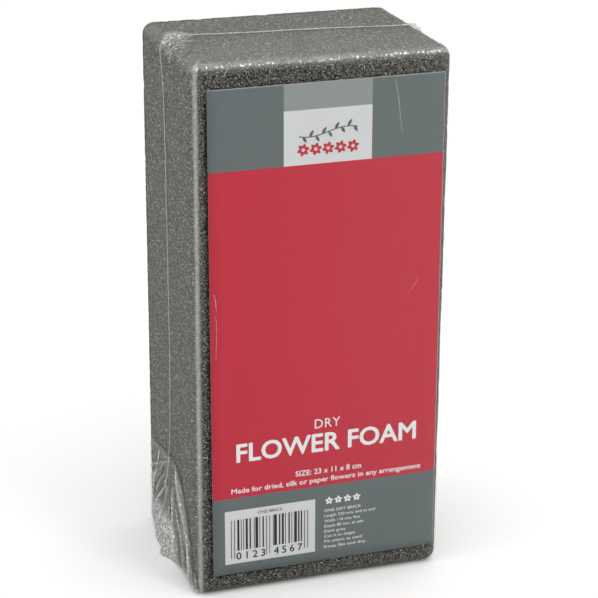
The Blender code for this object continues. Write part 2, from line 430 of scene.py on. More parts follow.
def film_finish(name, settings, tint, seed):
    """Shrink film: clear seen straight, a mirror seen along it, and a white veil where it is drawn, which also
    carries painted highlights, painted glints and painted fold shade.
    """
    finish = Finish(name)
    glance = finish.add("ShaderNodeLayerWeight", {}, {"Blend": 0.5}, "Facing")
    haze_and_highlight = finish.noted("haze_and_highlight")
    pale = finish.noted("pale")
    fine = finish.grain(PUCKER_SIZE, 1.0, seed)
    cloud = finish.grain(CLOUD_SIZE, 1.0, seed + 5)
    sparks = finish.rise(finish.grain(SPARK_PAINT_SIZE, 0.0, seed + 7), 0.58, 0.63)
    # Painted glints: the noted share of glinting spots
    painted_sparkle = finish.noted("painted_glint") * sparks
    drawn_and_painted_white = (haze_and_highlight * (0.5 + cloud) + painted_sparkle).held()
    # The veil's colour: white, going to the painted fold shade where pale is low
    drawn = finish.mix(pale * (0.85 + cloud * 0.3), tone(settings.fold_shade), tone(settings.white))
    normal = finish.bump(fine, settings.pucker, 0.8)
    veil = finish.add(
        "ShaderNodeBsdfPrincipled",
        {},
        {
            # Painted glints: the veil is made brighter than white at the glinting spots
            "Base Color": finish.mix(painted_sparkle.held(), drawn, tone(settings.white, 1.45)),
            "Roughness": 0.35 + fine * 0.2,
            "Normal": normal,
        },
    )
    clear = finish.add("ShaderNodeBsdfTransparent", {}, {"Color": tone(tint)})
    gloss = finish.add(
        "ShaderNodeBsdfGlossy",
        {},
        {"Color": (1, 1, 1, 1), "Roughness": settings.roughness, "Normal": normal},
    )
    clean = settings.straight_gloss + glance ** 5.0 * settings.glancing_gloss
    mirrored = (clean * finish.noted("gloss") + haze_and_highlight * 0.05).held()
    soft = finish.add("ShaderNodeMixShader", {}, {0: drawn_and_painted_white, 1: clear, 2: veil})
    return finish.surface(finish.add("ShaderNodeMixShader", {}, {0: mirrored, 1: soft, 2: gloss}))


def print_finish(name, colour, seed, settings):
    """Ink on coated card: almost even, with a slight cloud, paper tooth and a soft gloss."""
    finish = Finish(name)
    cloud = finish.grain(0.022, 3.0, seed)
    tooth = finish.grain(0.0025, 1.0, seed + 1)
    rub = finish.rise(finish.grain(0.006, 2.0, seed + 2, finish.stretched((3.0, 1.0, 0.4))), 0.66, 0.8)
    share = (cloud * 0.8 + tooth * 0.15 + rub * 0.25).held()
    shader = finish.add(
        "ShaderNodeBsdfPrincipled",
        {},
        {
            "Base Color": finish.mix(share, tone(colour, 0.96), tone(colour, 1.04)),
            "Roughness": settings.gloss + tooth * 0.12,
            "Normal": finish.bump(tooth * 0.3 + cloud * 2, 0.00003, 0.2),
            "Specular IOR Level": 0.2,
        },
    )
    return finish.surface(shader)


def floor_finish(colour):
    """Matt white sweep."""
    finish = Finish("studio floor")
    share = finish.grain(0.6, 2.0, 1)
    base = finish.mix(share, tone(colour, 0.985), tone(colour))
    matt = {"Base Color": base, "Roughness": 0.9, "Specular IOR Level": 0.1}
    return finish.surface(finish.add("ShaderNodeBsdfPrincipled", {}, matt))


# --- The card's own places ------------------------------------------------------------------------

# Everything on the card is placed from its middle, right and up, in metres
HALF_WIDE = CARD_WIDE / 2
HALF_TALL = CARD_TALL / 2
PANEL_HALF = 18.45 * MM
PANEL_LINE = 94.2 * MM
BAND_TOP = 71.8 * MM
BAND_FOOT = -69.9 * MM
CODE_LEFT = -44.3 * MM
CODE_RIGHT = -4.6 * MM
CODE_FOOT = -100.4 * MM
CODE_TOP = -75.75 * MM
BEND = 44 * MM
# Width of the painted highlight strip along the card's right and top edges
EDGE_HIGHLIGHT_STRIP = 0.32 * MM
INK_LIFT = 0.03 * MM
INK_THICK = 0.03 * MM


def film_fall(x, rounding):
    """How far the film has turned away from the front at x, round the right edge."""
    past = np.clip(np.asarray(x, float) - (WRAP_HIGH[0] - rounding), 0, rounding * 0.95)
    return rounding - np.sqrt(rounding * rounding - past * past)


def on_card(right, up, lift):
    """Points on the card's face, which waves a little and follows the film round the right edge."""
    right = np.asarray(right, float)
    up = np.asarray(up, float)
    x = CARD_MIDDLE[0] + right * math.cos(CARD_TURN) - up * math.sin(CARD_TURN)
    z = CARD_MIDDLE[2] + right * math.sin(CARD_TURN) + up * math.cos(CARD_TURN)
    spots = np.stack([x.ravel(), z.ravel()], axis=1)
    wave = swells(spots, 0.045, 41) * 0.09 * MM + swells(spots, (0.012, 0.05), 43) * 0.025 * MM
    sizes = bpy.context.scene.brick_film
    y = CARD_FACE - lift + wave.reshape(x.shape) * 0.6 + 0.06 * MM + film_fall(x, sizes.rounding)
    return np.stack([x, y, z], axis=-1)


# --- Sizes and colours that a user would change ---------------------------------------------------


class BrickFoam(PropertyGroup):
    """The block of foam."""

    rounding: FloatProperty(
        name="Rounding", description="Radius of the block's edges",
        default=5.0 * MM, min=0.001, unit="LENGTH",
    )
    step: FloatProperty(
        name="Mesh step", description="Size of the mesh faces on the block",
        default=1.07 * MM, unit="LENGTH",
    )
    pit: FloatProperty(
        name="Pit depth", description="Depth of the larger open pores",
        default=0.22 * MM, unit="LENGTH",
    )
    cell_size: FloatProperty(
        name="Cell size", description="Width of one foam cell", default=0.72 * MM, unit="LENGTH"
    )
    crumbs: IntProperty(
        name="Crumbs", description="Loose crumbs caught under the film",
        default=6500, min=0,
    )
    pore_colour: FloatVectorProperty(
        name="Pore colour", description="Dark inside of a cell",
        default=(0.010, 0.0097, 0.0085), subtype="COLOR",
    )
    wall_colour: FloatVectorProperty(
        name="Wall colour", description="Pale cell walls",
        default=(0.110, 0.1072, 0.0972), subtype="COLOR",
    )
    # Painted light: the pale colour that the top and sides are lightened towards
    face_light_paint_colour: FloatVectorProperty(
        name="Dust colour", description="Fine dust on the cut faces",
        default=(0.5, 0.49, 0.465), subtype="COLOR",
    )
    # Painted glints: the pale colour of the glinting cell walls, also used for the crumbs
    painted_cell_glint_colour: FloatVectorProperty(
        name="Glint colour", description="The brightest cell walls",
        default=(0.5, 0.5, 0.48), subtype="COLOR",
    )


class BrickCard(PropertyGroup):
    """The printed card."""

    red: FloatVectorProperty(
        name="Band", description="Main band of the card",
        default=(0.436, 0.0245, 0.045), subtype="COLOR",
    )
    grey: FloatVectorProperty(
        name="Header and footer", description="Bands above and below",
        default=(0.107, 0.129, 0.132), subtype="COLOR",
    )
    panel: FloatVectorProperty(
        name="Panel", description="Small light panel at the top",
        default=(0.226, 0.249, 0.251), subtype="COLOR",
    )
    white: FloatVectorProperty(
        name="White", description="Unprinted card and white lettering",
        default=(0.544, 0.556, 0.565), subtype="COLOR",
    )
    # The cut edge's colour, also the painted highlight strip along the card's right and top edges
    core: FloatVectorProperty(
        name="Core", description="The card's cut edge", default=(0.3, 0.3, 0.295), subtype="COLOR"
    )
    ink: FloatVectorProperty(
        name="Dark ink", description="Bars, digits and fine print",
        default=(0.02, 0.02, 0.02), subtype="COLOR",
    )
    gloss: FloatProperty(name="Roughness", description="Roughness of the coated card", default=0.38)
    bar_seed: IntProperty(name="Bar seed", description="Which row of bars is printed", default=5)
    title: StringProperty(
        name="Title", description="Plain word for what it is",
        default="FLOWER FOAM",
    )


class BrickFilm(PropertyGroup):
    """The shrink film."""

    rounding: FloatProperty(
        name="Rounding", description="Radius of the film round the edges",
        default=5.4 * MM, unit="LENGTH",
    )
    thickness: FloatProperty(
        name="Thickness", description="Thickness of the film", default=0.05 * MM, unit="LENGTH"
    )
    step: FloatProperty(
        name="Mesh step", description="Size of the mesh faces",
        default=1.35 * MM, unit="LENGTH",
    )
    seam: FloatProperty(
        name="Seam width", description="Width of the weld",
        default=0.5 * MM, unit="LENGTH",
    )
    ripple: FloatProperty(
        name="Ripple", description="Height of the drawn ripples",
        default=0.3 * MM, unit="LENGTH",
    )
    pucker: FloatProperty(
        name="Pucker", description="Depth of the fine puckers",
        default=0.05 * MM, unit="LENGTH",
    )
    roughness: FloatProperty(name="Roughness", description="Roughness of the film", default=0.16)
    straight_gloss: FloatProperty(
        name="Gloss", description="How much it mirrors, seen straight",
        default=0.003,
    )
    glancing_gloss: FloatProperty(
        name="Glancing gloss", description="How much it mirrors seen along it",
        default=0.08,
    )
    white: FloatVectorProperty(
        name="Drawn film", description="Colour of drawn or folded film",
        default=(0.62, 0.62, 0.605), subtype="COLOR",
    )
    tint: FloatVectorProperty(
        name="Tint", description="Colour of the light that it lets through",
        default=(0.98, 0.98, 0.975), subtype="COLOR",
    )
    fold_shade: FloatVectorProperty(
        name="Folded film", description="Shade inside folds",
        default=(0.11, 0.11, 0.105), subtype="COLOR",
    )
    layered: FloatVectorProperty(
        name="Layered tint", description="Light let through where layers lie together",
        default=(0.9, 0.9, 0.89), subtype="COLOR",
    )


class BrickStage(PropertyGroup):
    """Floor, light and camera."""

    floor: FloatVectorProperty(
        name="Floor", description="Colour of the sweep",
        default=(0.93, 0.93, 0.925), subtype="COLOR",
    )
    sky: FloatProperty(name="Surround", description="Strength of the even surround", default=0.86)
    sun: FloatProperty(
        name="Overhead", description="Strength of the broad overhead light",
        default=0.8,
    )
    key: FloatProperty(
        name="Key", description="Power of the front softbox",
        default=5.0, unit="POWER",
    )
    side: FloatProperty(
        name="Side", description="Power of the left softbox",
        default=2.5, unit="POWER",
    )
    azimuth: FloatProperty(
        name="Azimuth", description="Way round from the front",
        default=math.radians(-18.3515), subtype="ANGLE",
    )
    elevation: FloatProperty(
        name="Elevation", description="Way up from level",
        default=math.radians(20.6303), subtype="ANGLE",
    )
    roll: FloatProperty(
        name="Roll", description="Turn of the frame",
        default=math.radians(0.3748), subtype="ANGLE",
    )
    distance: FloatProperty(
        name="Distance", description="From the camera to the brick's middle",
        default=0.865505, unit="LENGTH",
    )
    lens: FloatProperty(name="Lens", description="Focal length in millimetres", default=122.09)


# --- The foam -------------------------------------------------------------------------------------


# How far outside the block the crumbs lie, and their smallest and largest radius
CRUMB_LIFT = 0.12 * MM
CRUMB_RADIUS = (0.07 * MM, 0.18 * MM)
# How deep the foam is worn in beside the card's edge
STEP_DEPTH = 0.75 * MM


def foam_block(settings):
    """The foam block: open pores, rounded edges crushed a little, and a step worn in round the card, with
    painted shade in that step and along the back edges and painted light on the top and sides.
    """
    low, high = FOAM_LOW, FOAM_HIGH
    sharp, quads = box_grid(low, high, settings.rounding, settings.step, 6)
    points, outward = round_off(sharp, low, high, settings.rounding)
    edge = (np.abs(outward) > 0.2).sum(axis=1) > 1
    pits = ease(swells(points, 1.7 * MM, 5), 0.15, 0.75) * settings.pit
    tooth = swells(points, 1.1 * MM, 9) * 0.07 * MM
    crush = ease(swells(points, 14 * MM, 13), 0.1, 0.8) * 0.2 * MM * edge
    crush += ease(swells(points, 5 * MM, 17), 0.3, 0.9) * 0.15 * MM * edge
    # The card's edge stands off the foam, and the film draws the foam in beside it
    turn = np.stack([points[:, 0] - CARD_MIDDLE[0], points[:, 2] - CARD_MIDDLE[2]], axis=1)
    right = turn[:, 0] * math.cos(CARD_TURN) + turn[:, 1] * math.sin(CARD_TURN)
    up = turn[:, 1] * math.cos(CARD_TURN) - turn[:, 0] * math.sin(CARD_TURN)
    beside = np.maximum(np.abs(right) - HALF_WIDE, np.abs(up) - HALF_TALL)
    front = outward[:, 1] < -0.5
    step_in = hump(beside, 0.3 * MM, 1.6 * MM) * front
    lowered = step_in * np.where((right > 0.9 * HALF_WIDE) | (up > 0.97 * HALF_TALL), 0.25, 1.0)
    inwards = pits + crush - tooth * 0.5 + 0.04 * MM + lowered * STEP_DEPTH
    points = points - outward * np.clip(inwards, 0, None)[:, None]
    piece = new_piece("foam_brick", points, quads)
    # Painted shade: darker beside the card's edge, less so at its right and top, and along the back edges
    back_edge_shade = ease(points[:, 1], high[1] - 7 * MM, high[1] - 3 * MM) * (outward[:, 1] < 0.9)
    note(piece, "painted_shade", lowered * 0.45 + back_edge_shade * 0.4)
    # Painted light: the sides, the back and most of all the top, more so at its front, are mixed towards a pale
    # colour, and much less near the back edges
    crumbs_and_painted_face_light = 0.15 * np.abs(outward[:, 0]) + 0.05 * np.clip(outward[:, 1], 0, 1)
    crumbs_and_painted_face_light += (0.20 + 0.06 * ease(points[:, 1], 0.01, -0.03)) * np.clip(outward[:, 2], 0, 1)
    crumbs_and_painted_face_light *= 1 - 0.8 * ease(points[:, 1], high[1] - 8 * MM, high[1] - 3.5 * MM)
    note(piece, "painted_light", crumbs_and_painted_face_light)
    left, top = ease(-outward[:, 0], 0.3, 0.7), ease(outward[:, 2], 0.3, 0.7)
    note(piece, "long", np.clip(left + top, 0, 1))
    return piece


def crumb_nodes(material):
    """Scatters faceted crumbs over a skin."""
    nodes = Shaper(
        "loose crumbs", Skin="Geometry", Density="Float", Smallest="Float", Largest="Float", Seed="Int"
    )
    seed = nodes.given("Seed")
    spots = nodes.add(
        "GeometryNodeDistributePointsOnFaces",
        {"distribute_method": "RANDOM"},
        {"Mesh": nodes.given("Skin"), "Density": nodes.given("Density"), "Seed": seed},
        "Points",
    )
    crumb = nodes.add("GeometryNodeMeshIcoSphere", {}, {"Radius": 1.0, "Subdivisions": 1}, "Mesh")
    reach = {2: nodes.given("Smallest"), 3: nodes.given("Largest"), "Seed": seed}
    size = nodes.add("FunctionNodeRandomValue", {"data_type": "FLOAT"}, reach, 1)
    round_turn = {0: (0.0, 0.0, 0.0), 1: (math.tau, math.tau, math.tau), "Seed": seed}
    turn = nodes.add("FunctionNodeRandomValue", {"data_type": "FLOAT_VECTOR"}, round_turn, 0)
    each = {"Points": spots, "Instance": crumb, "Rotation": turn, "Scale": size}
    return nodes.shape(nodes.add("GeometryNodeInstanceOnPoints", {}, each, "Instances"), material)


def run_nodes(piece, tree, **values):
    """Puts a node tree with these values for its inputs on a piece, and keeps only the mesh it makes."""
    modifier = piece.modifiers.new(tree.name, "NODES")
    modifier.node_group = tree
    names = {item.name: item.identifier for item in tree.interface.items_tree if item.in_out == "INPUT"}
    for name, value in values.items():
        modifier[names[name]] = value
    return baked(piece)


class BRICK_OT_foam(Operator):
    """Make the foam block, with the loose crumbs that lie under the film"""

    bl_idname = "foam_brick.foam"
    bl_label = "Foam"

    def execute(self, context):
        settings = context.scene.brick_foam
        material = foam_finish(settings)
        block = foam_block(settings)
        block.data.materials.append(material)
        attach(block, BODY)
        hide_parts("foam_block")
        self.crumbs(settings)
        return {"FINISHED"}

    @staticmethod
    def crumbs(settings):
        """Loose crumbs, scattered over a skin that lies just outside the block."""
        crumbs_and_painted_face_light = Finish("foam crumbs")
        shade = crumbs_and_painted_face_light.grain(0.0007, 1.0, 2)
        # Loose foam crumbs, painted much paler than the foam's walls so that each shows as a painted highlight
        colour = crumbs_and_painted_face_light.mix(shade, tone(settings.wall_colour, 2.0), tone(settings.painted_cell_glint_colour, 1.2))
        crumb = crumbs_and_painted_face_light.surface(crumbs_and_painted_face_light.add("ShaderNodeBsdfPrincipled", {}, {"Base Color": colour, "Roughness": 0.9}))
        low = FOAM_LOW - CRUMB_LIFT
        high = FOAM_HIGH + CRUMB_LIFT
        sharp, quads = box_grid(low, high, settings.rounding, 9 * MM, 3)
        skin = new_piece("foam_crumbs", round_off(sharp, low, high, settings.rounding)[0], quads)
        size = high - low
        area = 2 * (size[0] * size[1] + size[1] * size[2] + size[0] * size[2])
        run_nodes(
            skin,
            crumb_nodes(crumb),
            Density=settings.crumbs / area,
            Smallest=CRUMB_RADIUS[0],
            Largest=CRUMB_RADIUS[1],
            Seed=4,
        )
        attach(skin, BODY)


# --- The card -------------------------------------------------------------------------------------


def field_at(right, up):
    """Which print lies at a place on the card: 0 cut edge colour, painted as a highlight strip along the right
    and top edges, 1 grey, 2 panel, 3 white, 4 red.
    """
    if right > HALF_WIDE - EDGE_HIGHLIGHT_STRIP or up > HALF_TALL - EDGE_HIGHLIGHT_STRIP:
        return 0
    if up > BAND_TOP:
        if abs(right) > PANEL_HALF:
            return 1
        return 2 if up > PANEL_LINE else 3
    if up > BAND_FOOT:
        return 4
    in_code = CODE_LEFT < right < CODE_RIGHT and CODE_FOOT < up < CODE_TOP
    return 3 if in_code else 1


def card_sheet(materials):
    """The card, ruled along every edge of its print, so that each field is its own faces."""
    across = (-HALF_WIDE, CODE_LEFT, -PANEL_HALF, CODE_RIGHT, PANEL_HALF, BEND, HALF_WIDE - EDGE_HIGHLIGHT_STRIP, HALF_WIDE)
    upward = (-HALF_TALL, CODE_FOOT, CODE_TOP, BAND_FOOT, BAND_TOP, PANEL_LINE, HALF_TALL - EDGE_HIGHLIGHT_STRIP, HALF_TALL)
    right, up = np.meshgrid(*(ruled(marks, 3.5 * MM) for marks in (across, upward)), indexing="ij")
    quads = sheet_quads(*right.shape)
    piece = new_piece("printed_card", on_card(right, up, 0).reshape(-1, 3), quads)
    middle_right = right.ravel()[quads].mean(axis=1)
    middle_up = up.ravel()[quads].mean(axis=1)
    fields = [field_at(a, b) for a, b in zip(middle_right, middle_up)]
    for material in materials:
        piece.data.materials.append(material)
    piece.data.polygons.foreach_set("material_index", fields)
    # The rim's offset is past the first material, so every cut edge has that one
    wall(piece, CARD_THICK).material_offset_rim = -9
    return piece


def flat_text(words):
    """Some words as closed flat shells, baseline at 0: points from -0.5 to 0.5 deep, and faces."""
    curve = bpy.data.curves.new("words", "FONT")
    curve.body = words["text"]
    curve.space_character = words.get("spacing", 1.0)
    curve.resolution_u = 3
    curve.extrude = 0.5
    holder = bpy.data.objects.new("words", curve)
    bpy.context.scene.collection.objects.link(holder)
    bpy.context.view_layer.update()
    mesh = bpy.data.meshes.new_from_object(holder.evaluated_get(bpy.context.evaluated_depsgraph_get()))
    bpy.data.objects.remove(holder)
    bpy.data.curves.remove(curve)
    shell = bmesh.new()
    shell.from_mesh(mesh)
    bpy.data.meshes.remove(mesh)
    bmesh.ops.remove_doubles(shell, verts=shell.verts, dist=1e-4)
    shell.verts.index_update()
    points = np.array([tuple(vertex.co) for vertex in shell.verts])
    faces = [tuple(vertex.index for vertex in face.verts) for face in shell.faces]
    shell.free()
    return points, faces


# A capital's height in the plain lettering, and how far each strike lies above the last in its ink
CAP_HEIGHT = 0.7
STRIKE_LIFT = 0.04


def add_print(shell, points, faces):
    """Adds a flat print to a bmesh. Its points are (right, up, 0 at the card to 1 at the ink's face)."""
    placed = on_card(points[:, 0], points[:, 1], INK_LIFT + INK_THICK * points[:, 2])
    corners = [shell.verts.new(place) for place in placed]
    for face in faces:
        shell.faces.new([corners[i] for i in face])


def add_words(shell, words):
    """Sets a line of words on the card: place, baseline, cap height, width and weight, in mm.

    Heavier strokes are struck several times round a small ring, each a hair above the last.
    """
    flat, faces = flat_text(words)
    start = words["right"] - (words["width"] / 2 if words.get("centred", True) else 0)
    flat[:, 0] -= flat[:, 0].min()
    flat[:, 0] *= words["width"] * MM / flat[:, 0].max()
    flat[:, 0] += start * MM
    flat[:, 1] *= words["height"] * MM / CAP_HEIGHT
    flat[:, 1] += words["up"] * MM
    flat[:, 2] += 0.5
    weight = words.get("weight", 0.0) * MM
    strikes = words.get("strikes", 1)
    for strike in range(strikes):
        turn = math.tau * strike / strikes
        moved = flat + np.array([weight * math.cos(turn), weight * math.sin(turn), STRIKE_LIFT * strike])
        add_print(shell, moved, faces)


def add_shape(shell, outline):
    """Adds one filled outline, given as (right, up) points anticlockwise, as a thin closed plate of ink."""
    count = len(outline)
    flat = np.zeros((2 * count, 3))
    flat[:count, :2] = outline
    flat[count:, :2] = outline
    flat[count:, 2] = 1
    faces = [tuple(range(count))[::-1], tuple(range(count, 2 * count))]
    for i in range(count):
        j = (i + 1) % count
        faces.append((i, j, count + j, count + i))
    add_print(shell, flat, faces)


def finish_print(shell, name, material):
    """Turns a bmesh of ink into its piece."""
    bmesh.ops.recalc_face_normals(shell, faces=shell.faces)
    mesh = bpy.data.meshes.new(name)
    shell.to_mesh(mesh)
    shell.free()
    mesh.materials.append(material)
    piece = bpy.data.objects.new(name, mesh)
    bpy.context.scene.collection.objects.link(piece)
    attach(piece, BODY)
    return piece


def leaf(middle, length, width, turn, points=10):
    """A pointed leaf's outline, lying along turn from its stalk end at middle."""
    share = np.linspace(0, 1, points)
    half = width / 2 * np.sin(math.pi * share ** 0.8)
    along = np.concatenate([share, share[-2:0:-1]]) * length
    across = np.concatenate([-half, half[-2:0:-1]])
    right = middle[0] + along * math.cos(turn) - across * math.sin(turn)
    up = middle[1] + along * math.sin(turn) + across * math.cos(turn)
    return np.stack([right, up], axis=1)


def flower(shell, middle, petals, gap, length, width, turn, points):
    """Adds a ring of petals that start a small gap from the middle."""
    for petal in range(petals):
        way = petal * math.tau / petals + turn
        start = (middle[0] + gap * math.cos(way), middle[1] + gap * math.sin(way))
        add_shape(shell, leaf(start, length, width, way, points))


def stroke(places, width):
    """The outline of a line of even width through some places."""
    places = np.array(places)
    along = np.gradient(places, axis=0)
    along /= np.linalg.norm(along, axis=1, keepdims=True)
    across = np.stack([-along[:, 1], along[:, 0]], axis=1) * width / 2
    return np.concatenate([places - across, (places + across)[::-1]])


def bar_nodes(material):
    """A row of upright bars of mixed widths, with longer pairs at both ends and in the middle."""
    sizes = {name: "Float" for name in ("Pitch", "Module", "Height", "Guard", "Thickness")}
    nodes = Shaper("row of bars", Start="Geometry", Count="Int", **sizes, Seed="Int")
    count, pitch, module = (nodes.given(name) for name in ("Count", "Pitch", "Module"))
    step = nodes.add("ShaderNodeCombineXYZ", {}, {"X": pitch, "Y": 0.0, "Z": 0.0})
    line = nodes.add("GeometryNodeMeshLine", {}, {"Count": count, "Offset": step}, "Mesh")
    place = nodes.add("GeometryNodeInputIndex")
    middle = nodes.add("ShaderNodeMath", {"operation": "FLOOR"}, {0: count / 2})
    from_middle = nodes.add("ShaderNodeMath", {"operation": "ABSOLUTE"}, {0: place - middle + 0.5})
    guard = ((place < 1.5) + (count - 1 - place < 1.5) + (from_middle < 1.0)).held()
    modules = {4: 1, 5: 4, "ID": place, "Seed": nodes.given("Seed")}
    width = nodes.add("FunctionNodeRandomValue", {"data_type": "INT"}, modules, 2)
    either_way = {2: -0.2, 3: 0.2, "ID": place, "Seed": 9}
    drift = nodes.add("FunctionNodeRandomValue", {"data_type": "FLOAT"}, either_way, 1)
    wide = module * (width * (1 - guard) + guard)
    longer = nodes.given("Guard") * guard
    tall = nodes.given("Height") + longer
    scale = nodes.add("ShaderNodeCombineXYZ", {}, {"X": wide, "Y": tall, "Z": nodes.given("Thickness")})
    aside = drift * pitch * (1 - guard)
    shift = nodes.add("ShaderNodeCombineXYZ", {}, {"X": aside, "Y": 0 - longer / 2, "Z": 0.0})
    moved = nodes.add("GeometryNodeSetPosition", {}, {"Geometry": line, "Offset": shift})
    bar = nodes.add("GeometryNodeMeshCube", {}, {"Size": (1.0, 1.0, 1.0)}, "Mesh")
    each = {"Points": moved, "Instance": bar, "Scale": scale}
    return nodes.shape(nodes.add("GeometryNodeInstanceOnPoints", {}, each, "Instances"), material)


class BRICK_OT_card(Operator):
    """Make the card with its printed fields"""

    bl_idname = "foam_brick.card"
    bl_label = "Card"

    def execute(self, context):
        settings = context.scene.brick_card
        materials = [
            # The cut edge, also the painted highlight strips along the right and top edges
            print_finish("card cut edge", settings.core, 3, settings),
            print_finish("grey print", settings.grey, 13, settings),
            print_finish("panel print", settings.panel, 23, settings),
            print_finish("bare white card", settings.white, 33, settings),
            print_finish("red print", settings.red, 43, settings),
        ]
        card = card_sheet(materials)
        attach(card, BODY)
        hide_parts("label_card")
        return {"FINISHED"}


def sprig_up(x):
    """How high the sprig's stalk lies on the card at a place across it, both in mm."""
    return 84.6 + 1.6 * math.sin(x / 5.2)


# Lines of white lettering, in mm on the card. The one with no text is the title
SMALL_BOLD = {"weight": 0.05, "strikes": 4}
WHITE_LINES = (
    {"text": "DRY", "right": 0.6, "up": -43.05, "height": 4.15, "width": 11.2, "spacing": 1.1},
    {"right": 0.6, "up": -53.6, "height": 8.0, "width": 78.8, "weight": 0.26, "strikes": 8},
    {"text": "SIZE: 23 x 11 x 8 cm", "right": 1.2, "up": -63.9, "height": 2.4, "width": 29.0, **SMALL_BOLD},
    {
        "text": "Made for dried, silk or paper flowers in any arrangement",
        "right": 0.7,
        "up": -67.85,
        "height": 2.25,
        "width": 84.0,
        **SMALL_BOLD,
    },
)

# The fine print: baseline, width and words
FINE_LINES = (
    (-82.45, 16.5, "ONE DRY BRICK"),
    (-84.85, 22.8, "Length 230 mm, end to end"),
    (-87.35, 16.0, "Width 110 mm, face"),
    (-89.75, 17.6, "Depth 80 mm, at side"),
    (-92.15, 9.6, "Dark grey"),
    (-94.55, 13.8, "Cut it to shape"),
    (-96.95, 17.0, "Pin stems as used"),
    (-99.45, 19.0, "Keep flat and dry."),
)


class BRICK_OT_print(Operator):
    """Print the plain words, the flower sprig, the fine lines and the bars on the card"""

    bl_idname = "foam_brick.print"
    bl_label = "Print"

    def execute(self, context):
        settings = context.scene.brick_card
        white = print_finish("white ink", [channel * 1.25 for channel in settings.white], 53, settings)
        dark = print_finish("dark ink", settings.ink, 63, settings)
        red = print_finish("red ink", settings.red, 73, settings)
        sprig_grey = print_finish("sprig ink", [channel * 0.75 for channel in settings.grey], 83, settings)

        shell = bmesh.new()
        for line in WHITE_LINES:
            add_words(shell, {"text": settings.title, **line})
        for up, width, text in FINE_LINES:
            fine = {"text": text, "right": -0.5, "up": up, "height": 1.35, "width": width}
            add_words(shell, {**fine, "centred": False})
        for place in range(4):
            middle = (1.6 * MM + place * 4.1 * MM, -77.3 * MM)
            flower(shell, middle, 5, 0.25 * MM, 1.65 * MM, 1.1 * MM, 0.3, 7)
        finish_print(shell, "white_lettering", white)

        shell = bmesh.new()
        stalk = [(x, sprig_up(x)) for x in np.linspace(-12.2, 12.4, 24)]
        add_shape(shell, stroke(np.array(stalk) * MM, 0.4 * MM))
        for place, x in enumerate(np.linspace(-10.5, 10.8, 9)):
            lean = math.radians(58 if place % 2 else -58)
            long = (3.4 if place % 2 else 2.9) * MM
            add_shape(shell, leaf((x * MM, sprig_up(x) * MM), long, 1.25 * MM, lean, 8))
        finish_print(shell, "sprig_print", sprig_grey)

        shell = bmesh.new()
        for x in np.linspace(-10.4, 10.4, 5):
            flower(shell, (x * MM, 77.9 * MM), 6, 0.55 * MM, 2.2 * MM, 1.55 * MM, 0.26, 8)
        finish_print(shell, "flower_row_print", red)

        shell = bmesh.new()
        for right, text in ((-33.1, "0123"), (-16.6, "4567")):
            digits = {"text": text, "right": right, "up": -98.65, "height": 3.3, "width": 12.6}
            add_words(shell, {**digits, "spacing": 1.5, "weight": 0.06, "strikes": 4})
        add_words(shell, {"text": "ONE BRICK", "right": -24.5, "up": -78.6, "height": 1.4, "width": 11.0})
        finish_print(shell, "dark_lettering", dark)

        bars = new_piece("bar_print", np.zeros((0, 3)), np.zeros((0, 4), int), smooth=False)
        count = 25
        left, right = -41.6 * MM, -7.9 * MM
        foot, top = -94.45 * MM, -80.05 * MM
        run_nodes(
            bars,
            bar_nodes(dark),
            Count=count,
            Pitch=(right - left) / (count - 1),
            Module=0.3 * MM,
            Height=top - foot,
            Guard=3.5 * MM,
            Thickness=1.0,
            Seed=settings.bar_seed,
        )
        flat = np.array([tuple(vertex.co) for vertex in bars.data.vertices])
        lift = INK_LIFT + INK_THICK * (flat[:, 2] + 0.5)
        placed = on_card(flat[:, 0] + left, flat[:, 1] + (foot + top) / 2, lift)
        bars.data.vertices.foreach_set("co", placed.ravel())
        bars.data.flip_normals()
        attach(bars, BODY)
        return {"FINISHED"}


# --- The film -------------------------------------------------------------------------------------

# The weld wanders round a loop: up the left, along the top, down the right and back under the brick.
# Each pair is (distance along that side, y) in mm, but (x, y) along the top
TOP_START = WRAP_TALL / MM
RIGHT_START = TOP_START + WRAP_WIDE / MM
FOOT_START = RIGHT_START + TOP_START
LOOP = FOOT_START + WRAP_WIDE / MM
SEAM_LEFT = (
    (0.0, 10.5), (18.0, 11.0), (34.9, 7.7), (42.6, 3.3), (51.0, 0.8), (75.0, -1.6), (98.0, -2.1),
    (121.0, -1.7), (143.0, -1.5), (164.0, -1.0), (185.0, -0.7), (206.0, 0.2), (218.0, 2.0),
)
SEAM_TOP = (
    (-49.0, 9.0), (-43.6, 8.6), (-41.0, 7.0), (-29.4, 5.5), (-12.8, 4.5), (4.0, 3.6), (20.9, 2.5),
    (37.3, -0.6), (50.2, -1.4),
)
SEAM_RIGHT = ((6.0, -1.6), (40.0, -0.6), (90.0, -1.8), (150.0, -1.2), (200.0, -2.2), (222.0, -0.8))
SEAM_FOOT = ((20.0, -1.0), (60.0, 1.5), (90.0, 6.0))

# Creases on the front of the film: one end, the other end and width, (x, z) in mm
FILM_CREASES = (
    ((29.0, 219.2), (33.0, 195.9), 0.26),
    ((-46.2, 136.0), (-44.6, 128.5), 0.24),
    ((-45.4, 127.0), (-45.0, 108.0), 0.16),
    ((41.0, 133.5), (38.0, 128.0), 0.16),
)


def seam_table():
    """Distances along the loop and the weld's y there, in metres."""
    table = list(SEAM_LEFT)
    table += [(TOP_START + (x - WRAP_LOW[0] / MM), y) for x, y in SEAM_TOP]
    table += [(RIGHT_START + along, y) for along, y in SEAM_RIGHT]
    table += [(FOOT_START + along, y) for along, y in SEAM_FOOT]
    table += [(LOOP, table[0][1])]
    return np.array(table) * MM


